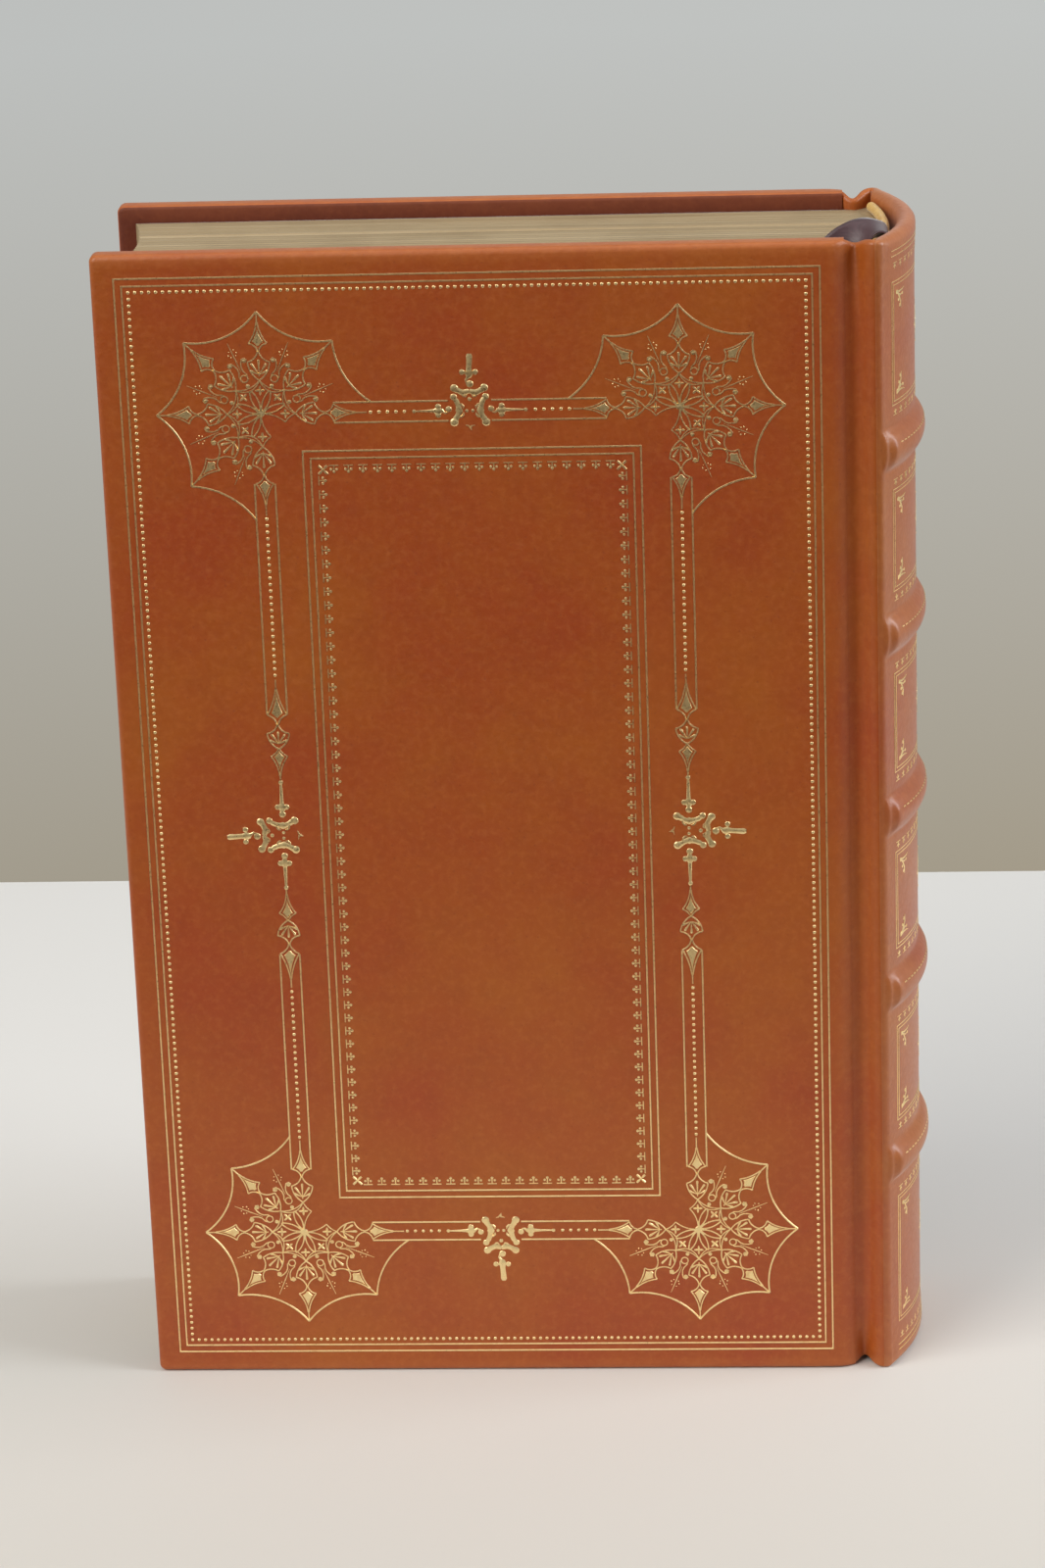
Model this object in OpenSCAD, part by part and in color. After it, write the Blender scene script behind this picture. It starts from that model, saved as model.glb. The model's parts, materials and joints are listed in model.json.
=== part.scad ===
// Full leather book with raised bands, standing on its tail.
// The spine faces +X, the fore edge -X, the back cover -Y and the front cover +Y.
// The origin is the middle of the rectangle that the closed book stands on.

/* [Covers] */
// Width of a cover, from its fore edge to the joint
cover_w = 147.2; // [120:0.1:180]
// Height of a cover, from tail to head
cover_h = 242; // [200:1:280]
// Thickness of the covering leather
leather_t = 0.9; // [0.6:0.05:1.1]
// Thickness of the board inside a cover
board_t = 3.1; // [2.4:0.1:4]
// Thickness of the leather that is turned in behind a board
turnin_t = 0.6; // [0.4:0.05:0.8]
// Width of the turned-in leather on the inner side of a cover
turnin_w = 14; // [8:0.5:25]
// Rounding of the edges of a cover
edge_r = 1.1; // [0.5:0.05:1.4]
// Width of the fold line where two turned-in edges meet at a corner
mitre_w = 0.3; // [0.2:0.05:0.6]

/* [Pages] */
// Thickness of the sewn pages
pages_t = 36.8; // [20:0.1:60]
// Thickness of a flyleaf
leaf_t = 0.25; // [0.15:0.05:0.4]
// Distance from the head and tail of the covers to the pages
head_square = 3.5; // [2.8:0.1:6]
// Distance from the fore edge of the covers to the pages
fore_square = 3.8; // [2:0.1:8]
// Depth of the hollow in the fore edge of the pages
fore_hollow = 2.6; // [1:0.1:5]
// Gap between a closed cover and its flyleaf
cover_gap = 0.25; // [0.2:0.05:0.5]

/* [Joints] */
// Width of the groove between a cover and the spine
groove_w = 3.7; // [3:0.1:6]
// Depth of the groove below the face of the cover
groove_depth = 3.7; // [2.5:0.05:3.7]
// Rounding at the bottom of the groove
groove_r = 0.9; // [0.4:0.05:1.2]
// Width of the flat shoulder beside the groove
shoulder_w = 3.4; // [2.8:0.1:5]
// Rounding of the shoulder towards the groove
shoulder_r = 1.4; // [1.3:0.05:1.8]
// Distance of the fold line outside the face of the cover
hinge_out = 0.25; // [0.2:0.01:0.4]
// Clearance of the joint leather from what it covers
seat_gap = 0.25; // [0.15:0.05:0.4]

/* [Spine] */
// How far the round of the spine stands out from its shoulders
spine_rise = 6.9; // [5.5:0.1:9]
// Thickness of the card that stiffens the spine
inlay_t = 1.7; // [1:0.05:2]
// Thickness of the leather that is folded in at the head and tail
fold_t = 0.8; // [0.5:0.05:1]
// Length of the leather that is folded in at the head and tail
fold_l = 15; // [8:0.5:25]
// Air between the folded leather and the back of the pages
hollow_gap = 1.4; // [1.4:0.1:3]
// Thickness of the cloth that is glued to the back of the pages
cloth_t = 0.4; // [0.2:0.05:0.6]
// Distance from the head of the pages to the cloth
cloth_inset = 21; // [16:0.5:40]

/* [Bands] */
// Height of the lowest band above the tail
band_first = 46.6; // [30:0.1:60]
// Distance from one band to the next
band_pitch = 38.2; // [20:0.1:45]
// Width of a band along the spine
band_w = 8; // [5:0.1:12]
// How far a band stands out from the leather
band_rise = 2.2; // [1.2:0.1:2.4]

/* [Head and marker] */
// Thickness of the woven bead of a headband
bead_d = 2; // [1.4:0.1:2.2]
// Length of the headband cloth that is glued to the back
headband_l = 9; // [6:0.5:14]
// Width of the ribbon marker
ribbon_w = 7; // [4:0.1:10]
// Thickness of the ribbon marker
ribbon_t = 0.4; // [0.3:0.05:0.5]
// Distance from the tail to the lower end of the ribbon marker
ribbon_end = 60; // [20:1:120]
// Distance of the ribbon marker from the middle of the pages
ribbon_y = 9; // [4:0.1:11]

/* [Gold tooling] */
// Thickness of the gold that stands on the leather
gold_t = 0.1; // [0.05:0.01:0.15]
// Width of a tooled line
line_w = 0.45; // [0.3:0.05:0.7]
// Distance from the edge of a cover to the outer frame
frame_margin = 4.7; // [3:0.1:8]
// Distance between the two lines of a frame
frame_gap = 1.5; // [1:0.1:2.5]
// Distance from the outer frame to the inner panel
panel_inset = 35.5; // [34:0.1:42]
// Distance from the outer frame to the middle of a corner star
star_inset = 27.7; // [25:0.1:30]
// Radius of a corner star
star_r = 20.7; // [16:0.1:22]
// Width of the tooled bars between the corner stars
bar_w = 4.1; // [3:0.1:5]

/* [Hidden] */
$fn = 96;

// One node stands for each raised band
band_count = 5;

// Thickness of the closed book, from the stack of its layers
cover_t = leather_t + board_t + turnin_t;
pages_y = pages_t / 2;
half_t = pages_y + leaf_t + cover_gap + cover_t;

// Places along X, from the fore edge to the raised bands
overall_w = cover_w + groove_w + shoulder_w + spine_rise + band_rise;
x_fore = -overall_w / 2;
x_cover_end = x_fore + cover_w;
x_shoulder = x_cover_end + groove_w;
x_corner = x_shoulder + shoulder_w;
x_apex = x_corner + spine_rise;
x_hinge = x_cover_end + groove_w / 2;
x_pages = x_fore + fore_square;

// Heights of the pages
z_tail = head_square;
z_head = cover_h - head_square;
pages_h = z_head - z_tail;

// The round of the spine, an arc through both shoulders
spine_r = (half_t * half_t + spine_rise * spine_rise) / (2 * spine_rise);
spine_x = x_apex - spine_r;
spine_a = asin(half_t / spine_r);
inlay_r = spine_r - leather_t;
inlay_in_r = inlay_r - inlay_t;
fold_r = inlay_in_r - fold_t;
inlay_a = spine_a - 3;

// The round of the pages, an arc through both backed shoulders
back_y = half_t - leather_t - seat_gap;
back_x = x_shoulder + leather_t + seat_gap;
back_apex = x_apex - leather_t - inlay_t - fold_t - hollow_gap - cloth_t;
back_rise = back_apex - back_x;
back_r = (back_y * back_y + back_rise * back_rise) / (2 * back_rise);
back_cx = back_apex - back_r;

// The bottom of the groove, and where the sides of the pages end
floor_y = half_t - groove_depth;
x_root = x_shoulder - groove_r;
joint_gap = 0.3;

// A band is part of a circle in section
band_r = (band_w * band_w / 4 + band_rise * band_rise) / (2 * band_rise);
band_cr = spine_r + band_rise - band_r;
function band_z(i) = band_first + i * band_pitch;

// The headband is a bead on a strip of cloth
bead_r = bead_d / 2;
bead_a = asin((pages_y - 1.4) / back_r);
bead_in = 0.8;
strip_t = 0.35;

// The ribbon is glued behind the headband, bows over it and goes down between the pages
ribbon_a = asin(ribbon_w / 2 / back_r);
ribbon_mid_a = asin((ribbon_y + 2) / back_r);
ribbon_reach = 12.5;
ribbon_top = cover_h - 0.2;
ribbon_fit = 0.1;
ribbon_glued = 6;
ribbon_turn_r = 1.5;
ribbon_x = back_cx + (back_r - ribbon_reach) * cos(ribbon_mid_a);

eps = 0.01;

// Flat shapes

module rounded_rect(w, h, r) {
    translate([r, 0]) square([w - 2 * r, h]);
    translate([0, r]) square([w, h - 2 * r]);
    for (x = [r, w - r], y = [r, h - r]) translate([x, y]) circle(r);
}

// A wedge from the middle, from angle -a to a on both sides of +X
module wedge(r, a) {
    polygon([[0, 0], [r, -r * tan(a)], [r, r * tan(a)]]);
}

// The space inside one joint, a depth d below the surface of its leather.
// It is drawn for +Y, from the groove to past the corner of the spine.
module joint_outline(d) {
    wall_x = x_shoulder + d;
    floor_d = floor_y - d;
    crest_d = half_t - d;
    fillet_r = groove_r + d;
    crest_r = shoulder_r - d;
    far_x = x_apex - wall_x;
    translate([x_cover_end + joint_gap, 0]) square([x_apex - x_cover_end - joint_gap, floor_d]);
    difference() {
        translate([wall_x, 0]) square([far_x, crest_d]);
        translate([wall_x - eps, crest_d - crest_r]) square([crest_r + eps, crest_r + eps]);
    }
    translate([wall_x + crest_r, crest_d - crest_r]) circle(crest_r);
    difference() {
        translate([wall_x - fillet_r, floor_d - eps]) square([fillet_r + eps, fillet_r]);
        translate([wall_x - fillet_r, floor_d + fillet_r]) circle(fillet_r);
    }
}

// The same space on both sides of the book
module both_joints(d) {
    joint_outline(d);
    mirror([0, 1]) joint_outline(d);
}

// A quarter of a ring in the corner between the directions a and a + 90
module quarter_ring(r_out, r_in, a) {
    rotate(a) difference() {
        intersection() {
            circle(r_out);
            square(r_out);
        }
        circle(r_in);
    }
}

// Part of a round about a vertical axis at x, symmetric about the middle of the book
module spine_round(x, a) {
    translate([x, 0, 0]) rotate([0, 0, -a]) rotate_extrude(angle = 2 * a, $fn = 180) children();
}

// Pages

module pages_outline() {
    fore_r = (pages_y * pages_y + fore_hollow * fore_hollow) / (2 * fore_hollow);
    difference() {
        translate([x_pages, -pages_y]) square([x_root - x_pages + eps, pages_t]);
        translate([x_pages + fore_hollow - fore_r, 0]) circle(fore_r, $fn = 180);
    }
    intersection() {
        both_joints(leather_t + seat_gap);
        translate([x_root, -half_t]) square([overall_w, 2 * half_t]);
        translate([back_cx, 0]) circle(back_r, $fn = 360);
    }
}

module text_block() {
    slot_t = ribbon_t + 2 * ribbon_fit;
    slot_w = ribbon_w + 2 * ribbon_fit;
    slot_z = ribbon_end - ribbon_fit;
    color("wheat") difference() {
        translate([0, 0, z_tail]) linear_extrude(pages_h) pages_outline();
        translate([ribbon_x - slot_w / 2, -ribbon_y - slot_t / 2, slot_z]) cube([slot_w, slot_t, cover_h]);
    }
}

module flyleaf() {
    color("rosybrown") translate([x_pages, pages_y, z_tail]) cube([x_root - x_pages, leaf_t, pages_h]);
}

module spine_cloth() {
    color("ivory") spine_round(back_cx, asin(pages_y / (back_r + cloth_t)))
        translate([back_r, z_tail + cloth_inset]) square([cloth_t, pages_h - 2 * cloth_inset]);
}

// A headband for the head of the pages, drawn with the head at z = 0
module band_bead() {
    color("goldenrod") spine_round(back_cx, bead_a) difference() {
        union() {
            translate([back_r - bead_in, bead_r - 0.1]) circle(bead_r, $fn = 32);
            translate([back_r, -headband_l]) square([strip_t, headband_l + bead_r - 0.1]);
            translate([back_r - bead_in, 0]) square([bead_in + strip_t, bead_r - 0.1]);
        }
        translate([back_r - 3 * bead_d, -headband_l - 1]) square([3 * bead_d, headband_l + 1]);
    }
}

module headband() {
    translate([0, 0, z_head]) band_bead();
}

module tailband() {
    translate([0, 0, z_tail]) mirror([0, 0, 1]) band_bead();
}

module ribbon_marker() {
    back_in = back_r + strip_t + ribbon_fit;
    turn_x = back_in + ribbon_t - ribbon_turn_r;
    page_x = back_r - ribbon_reach;
    drop = ribbon_top - z_head - ribbon_t;
    bow_r = ((turn_x - page_x) * (turn_x - page_x) + drop * drop) / (2 * drop);
    color("dimgray") {
        translate([back_cx, 0, 0]) rotate([0, 0, -ribbon_mid_a - ribbon_a])
            rotate_extrude(angle = 2 * ribbon_a, $fn = 180) {
                translate([back_in, z_head - ribbon_glued])
                    square([ribbon_t, ribbon_glued + ribbon_top - ribbon_turn_r - z_head]);
                translate([turn_x, ribbon_top - ribbon_turn_r])
                    quarter_ring(ribbon_turn_r, ribbon_turn_r - ribbon_t, 0);
                intersection() {
                    translate([turn_x, ribbon_top - bow_r]) difference() {
                        circle(bow_r);
                        circle(bow_r - ribbon_t);
                    }
                    translate([page_x, z_head + ribbon_fit]) square([turn_x - page_x, ribbon_top]);
                }
            }
        translate([ribbon_x - ribbon_w / 2, -ribbon_y - ribbon_t / 2, ribbon_end])
            cube([ribbon_w, ribbon_t, z_head + ribbon_fit + ribbon_t - ribbon_end]);
    }
}

// Spine

// The section of one band, a depth d below its surface
module band_section(i, d) {
    translate([band_cr, band_z(i)]) circle(band_r - d);
}

module spine_inlay() {
    color("tan") spine_round(spine_x, inlay_a)
        translate([inlay_in_r, head_gap_z()]) square([inlay_t, cover_h - 2 * head_gap_z()]);
}

// Height of the leather that closes the head and tail of the spine
function head_gap_z() = leather_t + 0.3;

// What lies between the inner sides of the leather over the two shoulders
module between_crests() {
    reach = half_t - leather_t;
    translate([0, -reach, 0]) cube([overall_w, 2 * reach, cover_h]);
}

// One core, from a radius outward, from shoulder to shoulder
module core_round(i, r) {
    intersection() {
        spine_round(spine_x, spine_a + 1.5) intersection() {
            band_section(i, leather_t);
            translate([r, 0]) square([band_r, cover_h]);
        }
        between_crests();
    }
}

module band_core(i) {
    color("burlywood") core_round(i, inlay_r);
}

// The wall of the spine in section, folded in behind the card at the head and tail
module wall_section() {
    difference() {
        translate([fold_r, 0]) rounded_rect(spine_r - fold_r, cover_h, edge_r);
        translate([inlay_in_r, head_gap_z()]) square([inlay_t, cover_h - 2 * head_gap_z()]);
        translate([fold_r - 1, fold_l]) square([1 + fold_t + eps, cover_h - 2 * fold_l]);
    }
}

// The folded leather is pared away where it meets the shoulders of the pages
module spine_wall() {
    intersection() {
        difference() {
            spine_round(spine_x, spine_a + 1.5) wall_section();
            translate([back_cx, 0, z_tail - bead_d])
                cylinder(r = back_r + strip_t + ribbon_t + seat_gap, h = pages_h + 2 * bead_d, $fn = 360);
        }
        translate([0, -half_t, 0]) cube([overall_w, 2 * half_t, cover_h]);
    }
}

// The leather over one band, from shoulder to shoulder
module band_leather(i) {
    intersection() {
        spine_round(spine_x, spine_a + 1.5) intersection() {
            band_section(i, 0);
            translate([spine_r - leather_t / 2, 0]) square([band_r, cover_h]);
        }
        translate([0, -half_t, 0]) cube([overall_w, 2 * half_t, cover_h]);
    }
}

// The leather of one joint in plan: the groove, the side of the shoulder and its flat crest
module joint_strip() {
    floor_x = x_cover_end + joint_gap;
    bend_x = x_shoulder - groove_r;
    crest_x = x_shoulder + shoulder_r;
    translate([floor_x, floor_y - leather_t]) square([bend_x - floor_x, leather_t]);
    translate([bend_x, floor_y + groove_r]) quarter_ring(groove_r + leather_t, groove_r, -90);
    translate([x_shoulder, floor_y + groove_r])
        square([leather_t, half_t - shoulder_r - floor_y - groove_r]);
    translate([crest_x, half_t - shoulder_r]) quarter_ring(shoulder_r, shoulder_r - leather_t, 90);
    intersection() {
        translate([crest_x, half_t - leather_t]) square([spine_rise + shoulder_w, leather_t]);
        translate([spine_x, 0]) circle(spine_r - leather_t / 3, $fn = 360);
    }
}

// The leather folded in behind the crest of a shoulder, at the head and tail
module joint_fold() {
    fold_x = x_shoulder + leather_t;
    intersection() {
        translate([fold_x, half_t - leather_t - fold_t]) square([spine_rise + shoulder_w, fold_t]);
        translate([spine_x, 0]) circle(inlay_in_r + inlay_t / 2, $fn = 360);
    }
}

module joint_leather() {
    linear_extrude(cover_h) joint_strip();
    for (z = [0, z_head + joint_gap]) translate([0, 0, z]) linear_extrude(z_tail - joint_gap) joint_fold();
}

module spine_leather() {
    color("peru") difference() {
        union() {
            spine_wall();
            joint_leather();
            mirror([0, 1, 0]) joint_leather();
            for (i = [0 : band_count - 1]) band_leather(i);
        }
        for (i = [0 : band_count - 1]) core_round(i, inlay_r - inlay_t / 2);
    }
}

// Gold rules round every panel of the spine, and a lozenge in its middle
module spine_tooling() {
    rule_a = spine_a - 2.2;
    side_a = spine_a - 3.4;
    side_w = asin(line_w / spine_r);
    rule_gap = 1.2;
    clear = band_w / 2 + 2.2;
    rim = 5;
    color("gold") for (i = [0 : band_count]) {
        low = i == 0 ? rim : band_z(i - 1) + clear;
        high = i == band_count ? cover_h - rim : band_z(i) - clear;
        for (z = [low, low + rule_gap, high - rule_gap, high])
            spine_round(spine_x, rule_a) translate([spine_r, z - line_w / 2]) square([gold_t, line_w]);
        for (side = [-1, 1], k = [0, 1])
            translate([spine_x, 0, 0]) rotate([0, 0, side * (side_a - k * 3 * side_w) - side_w / 2])
                rotate_extrude(angle = side_w, $fn = 180)
                    translate([spine_r, low + 2 * rule_gap]) square([gold_t, high - low - 4 * rule_gap]);
        translate([0, 0, (low + high) / 2]) intersection() {
            spine_round(spine_x, 12) translate([spine_r, -6]) square([gold_t, 12]);
            rotate([45, 0, 0]) cube([overall_w, 5, 5], center = true);
        }
    }
}

// Covers

// A slab with all its edges rounded, on the XZ plane, with its thickness towards +Y
module rounded_slab(w, t, h, r) {
    intersection() {
        linear_extrude(h) rounded_rect(w, t, r);
        translate([0, t, 0]) rotate([90, 0, 0]) linear_extrude(t) rounded_rect(w, h, r);
        translate([w, 0, 0]) rotate([0, -90, 0]) linear_extrude(w) rounded_rect(h, t, r);
    }
}

// The cover parts are drawn for the front cover, with their outer face at y = half_t
module cover_board() {
    color("gray") translate([x_fore + leather_t, half_t - leather_t - board_t, leather_t])
        cube([cover_w - 2 * leather_t, board_t, cover_h - 2 * leather_t]);
}

module cover_leather() {
    inner_y = half_t - cover_t;
    color("chocolate") difference() {
        translate([x_fore, inner_y, 0]) rounded_slab(cover_w, cover_t, cover_h, edge_r);
        cover_board();
        translate([x_fore + turnin_w, inner_y - 1, turnin_w])
            cube([cover_w, turnin_t + 1, cover_h - 2 * turnin_w]);
        for (end = [[0, 1], [cover_h, -1]])
            translate([x_fore + edge_r, inner_y, end[0] + end[1] * edge_r]) rotate([0, -45 * end[1], 0])
                translate([0, -1, -mitre_w / 2]) cube([turnin_w * 1.5 - 2 * edge_r, 1 + turnin_t / 2, mitre_w]);
    }
}

module cover_pastedown() {
    color("rosybrown") translate([x_fore + turnin_w, half_t - leather_t - board_t - turnin_t + 0.1, turnin_w])
        cube([cover_w - turnin_w - leather_t, turnin_t - 0.1, cover_h - 2 * turnin_w]);
}

// Gold lines and ornaments of a cover, seen from outside with the fore edge at x = 0

module frame_line(inset) {
    difference() {
        translate([inset, inset]) square([cover_w - 2 * inset, cover_h - 2 * inset]);
        translate([inset + line_w, inset + line_w])
            square([cover_w - 2 * (inset + line_w), cover_h - 2 * (inset + line_w)]);
    }
}

// A hollow-sided kite that points along +X, from its base at x = 0
module kite(l, w) {
    difference() {
        polygon([[0, 0], [l * 0.22, -w / 2], [l, 0], [l * 0.22, w / 2]]);
        for (s = [-1, 1]) translate([l * 0.85, s * w * 1.06]) circle(w * 0.88);
    }
}

// A shield with round sides, its point at x = 0 and a hollow outer edge
module shield(l, w) {
    side_x = l * 0.73;
    side_y = w * 0.38;
    side_r = sqrt(side_x * side_x + side_y * side_y);
    difference() {
        intersection_for(s = [-1, 1]) translate([side_x, s * side_y]) circle(side_r);
        translate([l * 1.24, 0]) circle(l * 0.36);
    }
}

// A four-sided diamond that points both ways along X
module diamond(l, w) {
    polygon([[0, 0], [l / 2, -w / 2], [l, 0], [l / 2, w / 2]]);
}

// One hollow curve between two points of the star
module star_curve() {
    chord = star_r * sin(22.5);
    dip = star_r * 0.106;
    r = (chord * chord + dip * dip) / (2 * dip);
    intersection() {
        translate([star_r * cos(22.5) - dip + r, 0]) difference() {
            circle(r + line_w / 2);
            circle(r - line_w / 2);
        }
        wedge(star_r, 22.9);
    }
}

// What stands on one ray of the star near its middle
module star_heart() {
    translate([star_r * 0.11, 0]) diamond(star_r * 0.21, star_r * 0.14);
    translate([star_r * 0.34, 0]) shield(star_r * 0.21, star_r * 0.2);
}

// A corner star for the fore edge at the tail, with bars leaving it towards +X and +Y
module corner_star() {
    for (a = [0, 90, 135, 180, 225, 270, 315]) rotate(a) star_heart();
    for (a = [135 : 45 : 315]) rotate(a) translate([star_r * 0.62, 0]) kite(star_r * 0.37, star_r * 0.17);
    for (a = [157.5 : 45 : 292.5]) rotate(a) star_curve();
    difference() {
        for (a = [112.5, 337.5]) rotate(a) star_curve();
        translate([-bar_w / 2, 0]) square([bar_w, 2 * star_r]);
        translate([0, -bar_w / 2]) square([2 * star_r, bar_w]);
    }
}

// A bar of two lines along +X with a kite inside each end
module bar(l) {
    for (s = [-1, 1]) translate([0, s * (bar_w / 2 - line_w / 2) - line_w / 2]) square([l, line_w]);
    translate([-1, 0]) kite(7.4, bar_w - 0.9);
    translate([7, -line_w / 4]) square([l - 14, line_w / 2]);
    translate([l + 1, 0]) mirror([1, 0]) kite(7.4, bar_w - 0.9);
}

// Scrolls round the middle of a side, with a spear along -Y
module fleuron() {
    for (s = [-1, 1]) {
        translate([s * 3, 2.6]) circle(1);
        translate([s * 2.6, 0.4]) circle(0.9);
        translate([s * 3.2, -1.8]) circle(1);
        translate([s * 2.9, -4.4]) circle(1);
        translate([s * 1.2, -3.6]) circle(0.8);
        rotate(s * 12) translate([s * 2.3 - 0.4, -1.8]) square([0.8, 4.2]);
    }
    translate([0, -5.6]) circle(0.8);
    translate([0, -6.4]) rotate(-90) kite(5.8, 3.6);
    translate([-0.45, -12.2]) square([0.9, 6]);
}

// Half of the string of ornaments beside the middle of a long side, along +X
module string_half() {
    translate([5.6, 0]) circle(1);
    translate([5.6, -line_w / 2]) square([8, line_w]);
    translate([9.4, 0]) circle(0.6);
    translate([18.2, 0]) mirror([1, 0]) kite(6, 3.2);
    translate([18.4, 0]) shield(4.4, 4.2);
}

module cover_ornament() {
    cx = cover_w / 2;
    cy = cover_h / 2;
    corner = frame_margin + star_inset;
    bar_from = star_r * 0.68;
    long_bar = cy - corner - bar_from - 26.6;
    short_bar = cx - corner - bar_from - 9;
    for (inset = [0, frame_gap, frame_gap + 1.3, panel_inset, panel_inset + frame_gap])
        frame_line(frame_margin + inset);
    for (mx = [0, 1], my = [0, 1]) translate([cx, cy]) mirror([mx, 0]) mirror([0, my]) translate([-cx, -cy]) {
        translate([corner, corner]) {
            corner_star();
            translate([bar_from, 0]) bar(short_bar);
            rotate(90) translate([bar_from, 0]) bar(long_bar);
        }
        translate([corner, cy]) rotate(-90) string_half();
    }
    for (my = [0, 1]) translate([cx, cy]) mirror([0, my]) translate([0, corner - cy]) fleuron();
    for (mx = [0, 1]) translate([cx, cy]) mirror([mx, 0]) translate([corner - cx, 0]) rotate(-90) fleuron();
}

module cover_tooling() {
    color("gold") translate([x_fore, half_t + gold_t, 0]) rotate([90, 0, 0]) linear_extrude(gold_t)
        cover_ornament();
}

// The back cover is the front cover turned over
module back() {
    mirror([0, 1, 0]) children();
}

text_block();
back() flyleaf();  // back_flyleaf
flyleaf();  // front_flyleaf
spine_cloth();
headband();
tailband();
ribbon_marker();
spine_inlay();
band_core(0);  // band_1
band_core(1);  // band_2
band_core(2);  // band_3
band_core(3);  // band_4
band_core(4);  // band_5
spine_leather();
spine_tooling();
back() cover_board();  // back_board
back() cover_leather();  // back_leather
back() cover_pastedown();  // back_pastedown
back() cover_tooling();  // back_tooling
cover_board();  // front_board
cover_leather();  // front_leather
cover_pastedown();  // front_pastedown
cover_tooling();  // front_tooling
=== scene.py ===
"""Dresses the leather book: goatskin, gold tooling, gilt pages and silk, in a plain studio.

Sizes are in millimetres until a mesh is made. X runs from the fore edge to the spine, Z from
the tail to the head, and the back cover lies on the -Y side.
"""

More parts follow.
